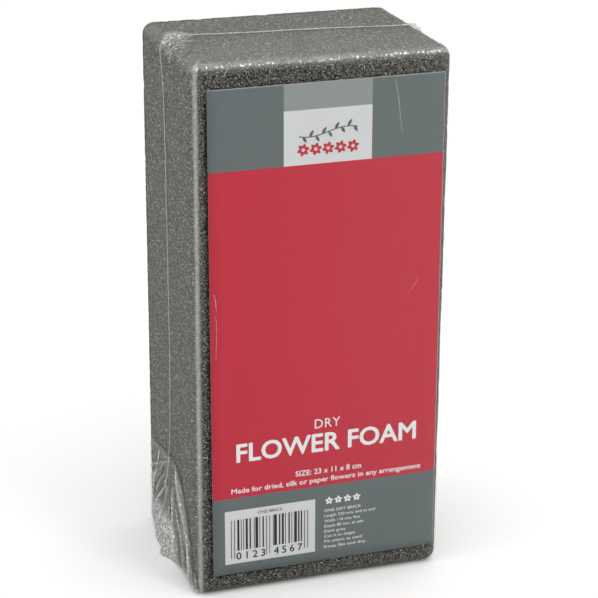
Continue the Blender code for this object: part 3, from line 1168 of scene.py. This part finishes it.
def seam_y(along):
    """The weld's y at distances along the loop, with the fine shake of a hot wire."""
    table = seam_table()
    along = np.asarray(along, float)
    dense = np.linspace(0, LOOP * MM, 400)
    coarse = np.interp(dense, table[:, 0], table[:, 1])
    smooth = np.convolve(np.pad(coarse, 6, mode="wrap"), np.ones(13) / 13, mode="valid")
    shake = swells(np.stack([along, along * 0], axis=1), 3.2 * MM, 3) * 0.16 * MM
    return np.interp(along, dense, smooth) + shake


def on_loop(along):
    """Places on the sharp skin at distances along the weld's loop."""
    corners = np.array([0, TOP_START, RIGHT_START, FOOT_START, LOOP]) * MM
    left, foot, right, top = WRAP_LOW[0], WRAP_LOW[2], WRAP_HIGH[0], WRAP_HIGH[2]
    x = np.interp(along, corners, [left, left, right, right, left])
    z = np.interp(along, corners, [foot, top, top, foot, foot])
    return np.stack([x, seam_y(along), z], axis=1)


def loop_place(points):
    """How far along the weld's loop each point of the sharp skin is."""
    x, z = points[:, 0] - WRAP_LOW[0], points[:, 2] - WRAP_LOW[2]
    side = np.stack([x, WRAP_TALL - z, WRAP_WIDE - x, z], axis=1).argmin(axis=1)
    top, right, foot = TOP_START * MM, RIGHT_START * MM, FOOT_START * MM
    along = np.stack([z, top + x, right + WRAP_TALL - z, foot + WRAP_WIDE - x], axis=1)
    return along[np.arange(len(points)), side]


def film_ripples(points, settings):
    """How far the drawn film stands out at each point."""
    x, y, z = points.T
    to_top = WRAP_HIGH[2] - z
    to_front = y - WRAP_LOW[1]
    to_left = x - WRAP_LOW[0]
    near_top_front = ease(np.hypot(to_top, to_front), 15 * MM, 2 * MM)
    near_left_front = ease(np.hypot(to_left, to_front), 10 * MM, 2 * MM)
    top_left = np.array([WRAP_LOW[0], WRAP_LOW[1], WRAP_HIGH[2]])
    corner = ease(np.linalg.norm(points - top_left, axis=1), 28 * MM, 0)
    combed = ridges(points, (2.6 * MM, 22 * MM, 22 * MM), 21) ** 2
    rows = ridges(points, (20 * MM, 20 * MM, 4.5 * MM), 23) ** 2
    lengthwise = swells(points, (6 * MM, 6 * MM, 70 * MM), 25)
    height = near_top_front * combed * 0.9 + near_left_front * rows * 0.35
    height += corner * ridges(points, 5 * MM, 27) * 0.8
    height += 0.12 * lengthwise + 0.08 * swells(points, 16 * MM, 29)
    return height * settings.ripple


# Painted highlights and glints on the film round the front edges: the middle and the reach of each band, in
# degrees turned away from the front
LEFT_PAINTED_BAND = (38, 16)
TOP_PAINTED_BAND = (47, 25)
CREST_SHEEN_PAINT = (38, 10)
CREST_PAINTED_SPARKS = (38, 12)


def film_white_and_highlights(points, outward):
    """How white, how much it glints and how glossy the film is at each point. A little white round every edge
    is drawn film; the bands round the two front edges, the glints along them and the whiter right of the front
    are painted highlights, painted glints and painted reflection.
    """
    front = np.clip(-outward[:, 1], 0, 1)
    round_left = np.degrees(np.arctan2(np.clip(-outward[:, 0], 0, 1), front))
    round_top = np.degrees(np.arctan2(np.clip(outward[:, 2], 0, 1), front))
    uneven = 0.75 + 0.45 * swells(points, 3 * MM, 31) + 0.2 * swells(points, 1.6 * MM, 33)
    left_highlight_band = hump(round_left, *LEFT_PAINTED_BAND) * (outward[:, 0] < -0.1) * (outward[:, 1] < -0.1)
    top_highlight_band = hump(round_top, *TOP_PAINTED_BAND) * (outward[:, 2] > 0.1) * (outward[:, 1] < -0.1)
    facing = outward[:, 1] < -0.5
    second = np.sort(np.abs(outward), axis=1)[:, 1]
    edge = ease(second, 0.2, 0.65)
    combed = ridges(points, (3.1 * MM, 30 * MM, 30 * MM), 35) ** 2
    haze_and_highlight = 0.02 * edge * uneven
    # Painted reflection: the front is a little whiter towards the right
    haze_and_highlight += 0.010 * ease(points[:, 0], WRAP_LOW[0], WRAP_HIGH[0]) * (outward[:, 1] < -0.9)
    # Painted highlights: white bands round the front-left and front-top edges
    haze_and_highlight += 0.25 * left_highlight_band * (0.6 + 0.4 * uneven) + 0.11 * top_highlight_band * uneven
    # Painted sheen and painted glints along the front-top edge
    haze_and_highlight += hump(round_top, *CREST_SHEEN_PAINT) * facing * (0.04 + 0.1 * combed)
    painted_glint = hump(round_top, *CREST_PAINTED_SPARKS) * facing * (0.3 + 0.7 * combed) * 0.95 + left_highlight_band * 0.12
    return np.clip(haze_and_highlight, 0, 0.9), painted_glint, edge


def film_webs(settings):
    """The two webs of film, as (name, points, quads, looks), parted along the wandering weld."""
    low, high, rounding = WRAP_LOW, WRAP_HIGH, settings.rounding
    sharp, quads = box_grid(low, high, rounding, settings.step, 6, ((), (SEAM_MIDDLE,), ()))
    in_front = sharp[quads][:, :, 1].mean(axis=1) < SEAM_MIDDLE
    pull = ease(np.abs(sharp[:, 1] - SEAM_MIDDLE), 30 * MM, 0)
    moved = sharp.copy()
    moved[:, 1] += (seam_y(loop_place(sharp)) - SEAM_MIDDLE) * pull
    points, outward = round_off(moved, low, high, rounding)
    haze_and_highlight, painted_glint, gloss = film_white_and_highlights(points, outward)
    # The film is drawn white on both sides of the hot weld, most over the top
    beside = hump(sharp[:, 1], SEAM_MIDDLE, 1.3 * MM)
    haze_and_highlight += beside * np.where(outward[:, 2] > 0.7, 0.26, 0.04)
    # On the flat faces the film clings to the foam and hardly mirrors, apart from the looser back
    gloss = np.maximum(gloss, np.where(outward[:, 1] > 0.9, 0.5, 0.0))
    points = points + outward * film_ripples(points, settings)[:, None]
    points[:, 2] = np.maximum(points[:, 2], 0.0)
    for name, keep in (("film_front", in_front), ("film_back", ~in_front)):
        kept, faces, used = drop_loose(points, quads[keep])
        yield name, kept, faces, (haze_and_highlight[used], 1, painted_glint[used], gloss[used])


def seam_nodes(material):
    """A round bead swept along a path."""
    nodes = Shaper("weld bead", Path="Geometry", Radius="Float", Sides="Int")
    curve = nodes.add("GeometryNodeMeshToCurve", {}, {"Mesh": nodes.given("Path")})
    round_bead = {"Resolution": nodes.given("Sides"), "Radius": nodes.given("Radius")}
    ring = nodes.add("GeometryNodeCurvePrimitiveCircle", {}, round_bead)
    bead = nodes.add("GeometryNodeCurveToMesh", {}, {"Curve": curve, "Profile Curve": ring})
    return nodes.shape(bead, material)


# How far the weld's bead stands off the film, and its radius as a share of the weld's width
WELD_LIFT = 0.06 * MM
WELD_ROUND = 0.38


class BRICK_OT_film(Operator):
    """Wrap the brick in its two webs of film, with the weld between them"""

    bl_idname = "foam_brick.film"
    bl_label = "Film"

    def execute(self, context):
        settings = context.scene.brick_film
        clear = film_finish("clear film", settings, settings.tint, 5)
        for name, points, faces, looks in film_webs(settings):
            web = new_piece(name, points, faces)
            note_looks(web, *looks)
            web.data.materials.append(clear)
            wall(web, settings.thickness)
            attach(web, BODY)
            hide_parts(name + "_web")
        self.creases(settings)
        self.weld(settings)
        return {"FINISHED"}

    @staticmethod
    def weld(settings):
        """The bead where the two webs are welded, white with painted glints over the top and broken elsewhere.
        """
        loop = np.linspace(0, LOOP * MM, 900, endpoint=False)
        path, outward = round_off(on_loop(loop), WRAP_LOW, WRAP_HIGH, settings.rounding)
        path = path + outward * (film_ripples(path, settings) + WELD_LIFT)[:, None]
        radius = settings.seam * WELD_ROUND
        path[:, 2] = np.maximum(path[:, 2], radius)
        count = len(path)
        seam = bpy.data.meshes.new("weld")
        seam.from_pydata(path.tolist(), [(i, (i + 1) % count) for i in range(count)], [])
        weld = bpy.data.objects.new("weld", seam)
        bpy.context.scene.collection.objects.link(weld)
        welded = film_finish("welded film", settings, settings.tint, 25)
        run_nodes(weld, seam_nodes(welded), Radius=radius, Sides=8)
        places = np.array([tuple(vertex.co) for vertex in weld.data.vertices])
        on_top = places[:, 2] > WRAP_HIGH[2] - settings.rounding
        broken = 0.62 + 0.38 * ridges(places * (1, 0, 1), 1.5 * MM, 37)
        # Painted glints on the bead over the top
        note_looks(weld, np.where(on_top, 0.9, 0.85 * broken), 0.75, np.where(on_top, 0.5, 0.1), 1)
        weld.data.shade_smooth()
        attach(weld, BODY)
        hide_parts("seam_weld")

    @staticmethod
    def creases(settings):
        """Fine creases that stand on the front of the film, each a thin ridge from end to end."""
        points, quads = [], []
        for start, end, width in FILM_CREASES:
            share = np.linspace(0, 1, 30)[:, None]
            line = np.array(start) * (1 - share) + np.array(end) * share
            along = (np.array(end) - np.array(start)) / math.dist(start, end)
            across = np.array([-along[1], along[0]])
            line += across * np.sin(share * 5.1) * 0.25
            half = across * width / 2 * (0.15 + 0.85 * np.sin(math.pi * share) ** 0.5)
            for side in range(3):
                place = (line + half * (side - 1)) * MM
                lift = (0.14 if side == 1 else 0.05) * MM
                y = WRAP_LOW[1] - lift + film_fall(place[:, 0], settings.rounding)
                points.append(np.stack([place[:, 0], y, place[:, 1]], axis=1))
            quads.append(sheet_quads(3, 30) + len(quads) * 3 * 30)
        piece = new_piece("film_creases", np.concatenate(points), np.concatenate(quads))
        # White along the creases, with a few painted glints
        note_looks(piece, 0.4, 0.9, 0.1, 1)
        piece.data.materials.append(film_finish("creased film", settings, settings.tint, 65))
        wall(piece, settings.thickness * 0.5)
        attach(piece, BODY)


# --- Gathered film --------------------------------------------------------------------------------


def inside(spots, outline):
    """Which flat spots lie inside a closed outline."""
    found = np.zeros(len(spots), bool)
    for (x0, y0), (x1, y1) in zip(outline, np.roll(outline, -1, axis=0)):
        crosses = (y0 > spots[:, 1]) != (y1 > spots[:, 1])
        with np.errstate(divide="ignore", invalid="ignore"):
            found ^= crosses & (spots[:, 0] < (x1 - x0) * (spots[:, 1] - y0) / (y1 - y0) + x0)
    return found


def to_line(spots, places):
    """How far each flat spot is from a bent line."""
    nearest = np.full(len(spots), np.inf)
    for start, end in zip(places, places[1:]):
        along = end - start
        share = np.clip(((spots - start) @ along) / (along @ along), 0, 1)
        nearest = np.minimum(nearest, np.linalg.norm(spots - start - share[:, None] * along, axis=1))
    return nearest


# How far the gathers' lowest edge stays off the floor
FLOOR_GAP = 0.3 * MM


def gather(side, reach, step, shape, settings):
    """A sheet of gathered film on the left (-1) or right (1) wall, by folds, creases, pleats and crumple.

    Flat places on the wall are (y, z) in mm. reach is (lowest y, highest y, highest z). Each fold is
    (places, width, height, whiteness), the whiteness a painted highlight along its ridge, and each crease is
    (places, width, depth), its white taken away there as painted shade. hem and loose give, at
    each y, how far the foot stands out and how free it hangs. The white on the pleats and crumple is painted
    highlight.
    """
    rounding = settings.rounding
    rows = round((reach[1] - reach[0]) / step) + 1
    columns = round(reach[2] / step) + 1
    stops = np.linspace(reach[0], reach[1], rows), np.linspace(0, reach[2], columns)
    along, up = np.meshgrid(*stops, indexing="ij")
    spots = np.stack([along.ravel(), up.ravel()], axis=1)
    outline = np.array(shape["outline"], float)
    held = inside(spots, outline)
    rim = to_line(spots, outline[: shape["open_rim"]])
    cover = ease(rim, 0.15, shape["edge"]) * held

    apex = np.array(shape["apex"], float)
    away = spots - apex
    radial = np.linalg.norm(away, axis=1)
    angle = np.degrees(np.arctan2(away[:, 1], away[:, 0]))
    rays = np.stack([angle, radial * 0.12], axis=1)
    pleat = ridges(rays, (shape["pleat"], 4.0), shape["seed"]) ** 2
    finer = ridges(rays, (shape["pleat"] * 0.45, 3.0), shape["seed"] + 1) ** 2
    crumple = 0.6 * ridges(spots, (1.3, 1.9), shape["seed"] + 2) ** 2
    crumple += 0.6 * ridges(spots, 0.9, shape["seed"] + 3) ** 3
    rough = shape["rough"](spots[:, 0], spots[:, 1])
    hem = np.interp(spots[:, 0], *np.array(shape["hem"]).T)
    loose = np.interp(spots[:, 0], *np.array(shape["loose"]).T)
    low = ease(spots[:, 1], shape["bulge_top"], 0.0)
    proud = 0.12 + hem * low ** 1.4 + pleat * shape["pleat_height"] + finer * 0.12
    proud += crumple * rough * shape["crumple"]
    # Painted highlights: whiter on the crests of the pleats and the crumple
    haze_and_highlight = shape["haze_and_highlight"] * (1.6 * pleat ** 2 + 0.9 * finer ** 2)
    haze_and_highlight += rough * shape["haze_and_highlight"] * crumple ** 2 * 3.2
    for places, width, height, white in shape["folds"]:
        fold = hump(to_line(spots, np.array(places, float)), 0, width)
        proud += fold * height
        # Painted highlight along the fold's ridge
        haze_and_highlight += fold ** 2 * white * (2.4 + 2.4 * finer)
    for places, width, depth in shape["creases"]:
        crease = hump(to_line(spots, np.array(places, float)), 0, width)
        proud -= crease * depth
        # Painted shade: the crease loses its white
        haze_and_highlight *= 1 - 0.95 * crease
    proud = (0.06 + np.clip(proud, 0.05, None) * cover) * MM
    # Where it hangs loose it lies in several layers, painted grey with the fold shade rather than clear
    layers = ease(np.clip(loose, 0, 1) * low, 0.05, 0.5) * shape["layers"]
    pale = 1 - layers * (0.95 - np.clip(crumple ** 2 * 0.75 * rough + haze_and_highlight, 0, 0.9))
    haze_and_highlight = 0.008 + (haze_and_highlight + layers * (0.9 - haze_and_highlight)) * cover

    wide = np.full(len(spots), side * WRAP_HIGH[0])
    sharp = np.stack([wide, spots[:, 0] * MM, spots[:, 1] * MM], axis=1)
    upright = np.stack([wide, spots[:, 0] * MM, wide * 0 + WRAP_TALL / 2], axis=1)
    tight, tight_way = round_off(sharp, WRAP_LOW, WRAP_HIGH, rounding)
    free, free_way = round_off(upright, WRAP_LOW, WRAP_HIGH, rounding)
    free[:, 2] = spots[:, 1] * MM
    share = (loose * low)[:, None]
    points = tight + (free - tight) * share
    way = tight_way + (free_way - tight_way) * share
    way /= np.linalg.norm(way, axis=1, keepdims=True)
    points = points + way * proud[:, None]
    points[:, 2] = np.maximum(points[:, 2], FLOOR_GAP)

    quads = sheet_quads(*along.shape)
    if side < 0:
        quads = quads[:, ::-1]
    quads = quads[held[quads].any(axis=1)]
    points, quads, used = drop_loose(points, quads)
    return points, quads, np.clip(haze_and_highlight[used], 0.004, 0.9), pale[used]


def joined(parts):
    """Several (points, quads, haze, pale) as one."""
    count = 0
    moved = []
    for points, quads, haze_and_highlight, pale in parts:
        moved.append((points, quads + count, haze_and_highlight, pale))
        count += len(points)
    return tuple(np.concatenate(column) for column in zip(*moved))


# Each fold's last number is its whiteness, a painted highlight along its ridge
LEFT_FOLDS = (
    (
        (
            (-11.4, 44.2), (-12.6, 39.3), (-17.0, 33.5), (-23.3, 27.5), (-27.8, 21.0), (-29.8, 12.0),
            (-30, 2),
        ),
        3.3, 0.75, 0.11,
    ),
    (((-9.9, 26.9), (-12.4, 22.9), (-17.8, 18.6), (-20.0, 12.2), (-21, 4)), 2.2, 0.5, 0.07),
    (((-4.9, 35.1), (-3.9, 26.8), (-4.1, 18.0), (-6, 9)), 1.5, 0.55, 0.09),
    (((-1.6, 30.8), (1.2, 22.7), (6.1, 14.7), (8, 8)), 1.4, 0.5, 0.08),
    (((4.7, 31.5), (9.8, 21.4), (14.3, 14.2), (19.1, 7.1)), 1.5, 0.5, 0.09),
    (((6.0, 33.8), (12.0, 26.9), (21.2, 19.5), (27.8, 10.3)), 1.4, 0.55, 0.12),
    (((14.7, 34.3), (22.3, 24.1), (27, 20)), 1.2, 0.4, 0.09),
    (((17.6, 42.9), (22, 33.9), (27.4, 25.9), (31.5, 15.4)), 1.5, 0.4, 0.10),
    (((0.4, 46.5), (4.0, 39.5), (6.5, 33.4)), 1.2, 0.3, 0.08),
)
LEFT_CREASES = (
    (((-5.0, 44.0), (-6.8, 36.0), (-9.3, 30.9), (-14.6, 26.0), (-18.1, 22.6)), 1.1, 0.5),
    (((-7.3, 33.1), (-7.6, 23.6), (-9.6, 16.7)), 0.9, 0.4),
    (((-1.5, 42.0), (-2.2, 33.0), (0.5, 25.0)), 1.5, 0.3),
    (((7.5, 27.4), (12.8, 22.0), (18.7, 14.0)), 0.8, 0.35),
    (((8.1, 31.6), (17.0, 24.6), (24.7, 17.0)), 0.9, 0.4),
    (((10.3, 38.6), (17.5, 30.7), (24.9, 23.4), (28.4, 17.9)), 1.3, 0.3),
    (((20.7, 12.9), (26.8, 6.1)), 1.9, 0.3),
    (((-24.3, 19.0), (-25.6, 10.0)), 0.7, 0.3),
    (((-12.9, 7.9), (-14.3, 6.6)), 1.0, 0.5),
    (((-2.0, 7.6), (-3.3, 5.9)), 1.1, 0.5),
    (((6.4, 7.6), (5.2, 6.4)), 1.0, 0.5),
    (((5.9, 12.0), (4.6, 10.6)), 0.8, 0.4),
    (((-12.2, 15.0), (-13.4, 13.2)), 0.9, 0.4),
)

# The broad gather at the left foot, whose hem hangs loose and crumpled under the weld
LEFT_MAIN = {
    "outline": (
        (-39.5, -1), (-36.4, 6), (-34.2, 17.5), (-31.6, 23.6), (-27.4, 31.6), (-22.6, 39.2), (-16.6, 45.0),
        (-9.5, 48.5), (2, 49), (12, 47), (20, 46), (29, 47), (35.5, 38), (36.4, -1),
    ),
    "open_rim": 14,
    "edge": 1.6,
    "apex": (-2.5, 48.0),
    "pleat": 6.0,
    "seed": 51,
    "pleat_height": 0.28,
    "crumple": 0.55,
    "haze_and_highlight": 0.1,
    "layers": 0.85,
    "hem": (
        (-40, 0.0), (-14, 0.2), (-8, 0.5), (-3, 1.1), (0, 2.0), (2.2, 3.2), (3.3, 3.9), (4.6, 2.6),
        (6, 1.7), (10, 1.9), (15, 2.1), (19, 1.8), (25, 0.9), (31, 0.3), (37, 0.1),
    ),
    "loose": ((-40, 0), (-14, 0.05), (-6, 0.5), (0, 1), (20, 1), (28, 0.6), (36, 0.3)),
    "bulge_top": 24.0,
    "rough": lambda along, up: hump(along, 1.0, 25.0) * ease(up, 25.0, 15.0),
    "folds": LEFT_FOLDS,
    "creases": LEFT_CREASES,
}

# The narrow tuck in front of it, on the front corner
LEFT_TUCK = {
    "outline": ((-31.5, -1), (-34.5, 6), (-36.0, 13.0), (-38.5, 9.5), (-40.3, 4.0), (-40.4, -1)),
    "open_rim": 6,
    "edge": 1.2,
    "apex": (-36.0, 14.0),
    "pleat": 13.0,
    "seed": 61,
    "pleat_height": 0.35,
    "crumple": 0.15,
    "haze_and_highlight": 0.14,
    "layers": 0.0,
    "hem": ((-41, 0.2), (-30, 0.2)),
    "loose": ((-41, 0.0), (-30, 0.0)),
    "bulge_top": 12.0,
    "rough": lambda along, up: along * 0 + 0.3,
    "folds": (),
    "creases": ((((-35.8, 12.0), (-35.4, 2.0)), 0.6, 0.3),),
}

# The small gather at the right foot
RIGHT_GATHER = {
    "outline": ((-13.5, -1), (-9.0, 8), (-4.0, 15.0), (0.0, 17.5), (4.5, 15.0), (8.0, 8.0), (12.5, -1)),
    "open_rim": 7,
    "edge": 1.6,
    "apex": (-0.5, 17.5),
    "pleat": 15.0,
    "seed": 71,
    "pleat_height": 0.4,
    "crumple": 0.3,
    "haze_and_highlight": 0.1,
    "layers": 0.3,
    "hem": ((-14, 0.1), (-4, 0.7), (3, 1.1), (13, 0.1)),
    "loose": ((-14, 0.0), (-4, 0.6), (4, 0.6), (13, 0.0)),
    "bulge_top": 14.0,
    "rough": lambda along, up: ease(up, 10.0, 4.0),
    "folds": (),
    "creases": (),
}


def left_foot(settings):
    """The big gather at the left foot, with the tuck on the corner in front of it."""
    main = gather(-1, (-40.4, 36.5, 50.0), 0.42, LEFT_MAIN, settings)
    tuck = gather(-1, (-40.4, -30.0, 16.0), 0.4, LEFT_TUCK, settings)
    return joined([main, tuck])


def right_foot(settings):
    """The small gather at the right foot."""
    return gather(1, (-14.0, 13.0, 18.5), 0.5, RIGHT_GATHER, settings)


def crown_patch(settings):
    """The crumple over the left end of the top, where the weld turns the corner."""
    rounding = settings.rounding
    stops = np.linspace(-24, 19, 108) * MM, np.linspace(-11, 17, 72) * MM
    along, across = np.meshgrid(*stops, indexing="ij")
    quarter = rounding * math.pi / 2
    turn = np.clip(across / rounding, 0, math.pi / 2)
    x = WRAP_LOW[0] + rounding - rounding * np.cos(turn) + np.clip(across - quarter, 0, None)
    z = WRAP_HIGH[2] - rounding + rounding * np.sin(turn) + np.clip(across, None, 0)
    out_x, out_z = -np.cos(turn), np.sin(turn)
    flat = np.stack([along.ravel(), across.ravel()], axis=1) / MM
    creases = 0.6 * ridges(flat, 1.5, 81) ** 2 + 0.7 * ridges(flat, 0.8, 82) ** 2
    rim = swells(flat, 5.0, 83) * 2.5
    # Densest beside the weld, over the end of the top, and thinning towards the front
    heart = ease(np.hypot((flat[:, 0] - 6.0) * 0.8, flat[:, 1] - 9.5) + rim, 10.0, 3.0)
    tail = ease(np.hypot((flat[:, 0] + 6.0) * 0.42, (flat[:, 1] - 5.5) * 1.3) + rim, 9.0, 2.0)
    cover = np.clip(heart + tail * 0.6, 0, 1)
    proud = (0.07 + cover * (0.12 + creases * 0.26)) * MM
    # Painted glints: whiter on the crests of the crumple
    haze_and_highlight = 0.006 + heart * (0.10 + 0.5 * creases ** 3) + tail * (0.02 + 0.25 * creases ** 3)
    proud = proud.reshape(along.shape)
    points = np.stack([x + out_x * proud, along, z + out_z * proud], axis=-1).reshape(-1, 3)
    keep = cover > 0.01
    quads = sheet_quads(*along.shape)[:, ::-1]
    quads = quads[keep[quads].all(axis=1)]
    points, quads, used = drop_loose(points, quads)
    haze_and_highlight = np.clip(haze_and_highlight[used], 0.004, 0.8)
    return points, quads, haze_and_highlight, haze_and_highlight * 0 + 1


# How far the ear runs along the weld
EAR_RUN = 15.5 * MM


def ear_fin(settings):
    """The little fin of spare film that stands up where the weld leaves the top on the right."""
    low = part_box("ear_top_right")[0]
    start = TOP_START * MM + (low[0] - WRAP_LOW[0])
    run = np.linspace(start, start + EAR_RUN, 46)
    foot, outward = round_off(on_loop(run), WRAP_LOW, WRAP_HIGH, settings.rounding)
    share = np.linspace(0, 1, len(run))
    ragged = 0.8 + 0.2 * np.sin(share * 23)
    tall = (0.12 + 1.25 * np.sin(math.pi * share) ** 0.6 * ragged) * MM
    rows = []
    rises = np.linspace(0, 1, 8)
    for up in rises:
        place = foot + outward * (0.15 * MM + tall * up)[:, None]
        place[:, 1] += (np.sin(share * 17) * 0.5 + np.sin(share * 41) * 0.25) * MM * up * 0.8
        rows.append(place)
    points = np.stack(rows, axis=1)
    haze_and_highlight = np.tile(0.10 + 0.12 * rises, (len(run), 1)).ravel()
    return points.reshape(-1, 3), sheet_quads(*points.shape[:2]), haze_and_highlight, haze_and_highlight * 0 + 0.8


class BRICK_OT_gathers(Operator):
    """Gather the surplus film at both feet and over the top left, and raise the ear on the right"""

    bl_idname = "foam_brick.gathers"
    bl_label = "Gathers"

    def execute(self, context):
        settings = context.scene.brick_film
        pleated = film_finish("pleated film", settings, settings.layered, 45)
        for name, make, node in (
            ("left_foot_gather", left_foot, "gather_bottom_left"),
            ("right_foot_gather", right_foot, "gather_bottom_right"),
            ("crown_crumple", crown_patch, "gather_top_left"),
            ("top_right_ear", ear_fin, "ear_top_right"),
        ):
            points, quads, haze_and_highlight, pale = make(settings)
            piece = new_piece(name, points, quads)
            # Painted glints where the film is whitest
            note_looks(piece, haze_and_highlight, pale, np.clip(haze_and_highlight * 1.1, 0, 0.5), 1)
            piece.data.materials.append(pleated)
            wall(piece, settings.thickness * 1.6)
            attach(piece, BODY)
            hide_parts(node)
        return {"FINISHED"}


# --- Stage ----------------------------------------------------------------------------------------


def aimed(obj, place, target):
    """Puts a light at a place, turned to shine on a target."""
    away = Vector(place) - Vector(target)
    obj.matrix_world = Matrix.Translation(place) @ away.to_track_quat("Z", "Y").to_matrix().to_4x4()


def softbox(name, place, target, width, height, power):
    """A flat rectangular light."""
    lamp = bpy.data.lights.new(name, "AREA")
    lamp.shape = "RECTANGLE"
    lamp.size = width
    lamp.size_y = height
    lamp.energy = power
    holder = bpy.data.objects.new(name, lamp)
    bpy.context.scene.collection.objects.link(holder)
    aimed(holder, place, target)


# Where the lights stand, how far the floor reaches and what the camera is aimed at, in metres
SUN_PLACE = (0.3, -0.35, 2.0)
FRONT_PLACE = (0.62, -1.25, 1.05)
LEFT_PLACE = (-1.25, -0.15, 1.1)
FLOOR_REACH = 9.0
AIM = Vector((3.142 * MM, 0, 114.015 * MM))


class BRICK_OT_stage(Operator):
    """Set the floor, the lights and the camera"""

    bl_idname = "foam_brick.stage"
    bl_label = "Stage"

    def execute(self, context):
        scene = context.scene
        settings = scene.brick_stage
        scene.view_settings.view_transform = "Standard"
        world = bpy.data.worlds.new("even surround")
        world.use_nodes = True
        background = world.node_tree.nodes["Background"]
        background.inputs["Color"].default_value = (1, 1, 1, 1)
        background.inputs["Strength"].default_value = settings.sky
        scene.world = world

        corners = [(x * FLOOR_REACH, y * FLOOR_REACH, 0) for x, y in ((-1, -1), (1, -1), (1, 1), (-1, 1))]
        floor = new_piece("floor", corners, [(0, 1, 2, 3)], smooth=False)
        floor.data.materials.append(floor_finish(settings.floor))

        middle = (CAD_BOUNDS[0] + CAD_BOUNDS[1]) / 2
        lamp = bpy.data.lights.new("broad overhead", "SUN")
        lamp.energy = settings.sun
        lamp.angle = math.radians(70)
        sun = bpy.data.objects.new("broad overhead", lamp)
        scene.collection.objects.link(sun)
        aimed(sun, SUN_PLACE, (0, 0, 0))
        softbox("front softbox", FRONT_PLACE, middle, 0.5, 0.35, settings.key)
        softbox("left softbox", LEFT_PLACE, middle, 0.5, 0.5, settings.side)

        lens = bpy.data.cameras.new("camera")
        lens.lens = settings.lens
        lens.sensor_width = 36.0
        lens.clip_start = 0.05
        lens.clip_end = 50.0
        camera = bpy.data.objects.new("camera", lens)
        scene.collection.objects.link(camera)
        level = math.cos(settings.elevation)
        east, south = math.sin(settings.azimuth) * level, -math.cos(settings.azimuth) * level
        back = Vector((east, south, math.sin(settings.elevation)))
        across = Vector((0, 0, 1)).cross(back).normalized()
        upward = back.cross(across)
        roll = settings.roll
        right = across * math.cos(roll) + upward * math.sin(roll)
        top = upward * math.cos(roll) - across * math.sin(roll)
        turn = Matrix((right, top, back)).transposed().to_4x4()
        camera.matrix_world = Matrix.Translation(AIM + back * settings.distance) @ turn
        scene.camera = camera
        return {"FINISHED"}


# --- Panel and registration -----------------------------------------------------------------------


class BRICK_PT_panel(Panel):
    """Lists the steps that make the brick, with their sizes and colours"""

    bl_idname = "BRICK_PT_panel"
    bl_label = "Foam Brick"
    bl_space_type = "VIEW_3D"
    bl_region_type = "UI"
    bl_category = "Foam Brick"

    def draw(self, context):
        for operator, group in STEPS:
            box = self.layout.box()
            box.operator(operator.bl_idname)
            if group is not None:
                settings = getattr(context.scene, group)
                for name in settings.__class__.__annotations__:
                    box.prop(settings, name)


GROUPS = {
    "brick_foam": BrickFoam,
    "brick_card": BrickCard,
    "brick_film": BrickFilm,
    "brick_stage": BrickStage,
}

# In the order they are made, each with the group of settings shown beside it
STEPS = (
    (BRICK_OT_foam, "brick_foam"),
    (BRICK_OT_card, "brick_card"),
    (BRICK_OT_print, None),
    (BRICK_OT_film, "brick_film"),
    (BRICK_OT_gathers, None),
    (BRICK_OT_stage, "brick_stage"),
)


def register():
    for group in GROUPS.values():
        bpy.utils.register_class(group)
    for operator, _ in STEPS:
        bpy.utils.register_class(operator)
    bpy.utils.register_class(BRICK_PT_panel)
    for name, group in GROUPS.items():
        setattr(bpy.types.Scene, name, PointerProperty(type=group))


def unregister():
    for name in GROUPS:
        delattr(bpy.types.Scene, name)
    bpy.utils.unregister_class(BRICK_PT_panel)
    for operator, _ in STEPS:
        bpy.utils.unregister_class(operator)
    for group in GROUPS.values():
        bpy.utils.unregister_class(group)


def main():
    """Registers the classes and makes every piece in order."""
    register()
    for operator, _ in STEPS:
        family, action = operator.bl_idname.split(".")
        getattr(getattr(bpy.ops, family), action)()
    bpy.context.view_layer.update()


if __name__ == "__main__":
    main()
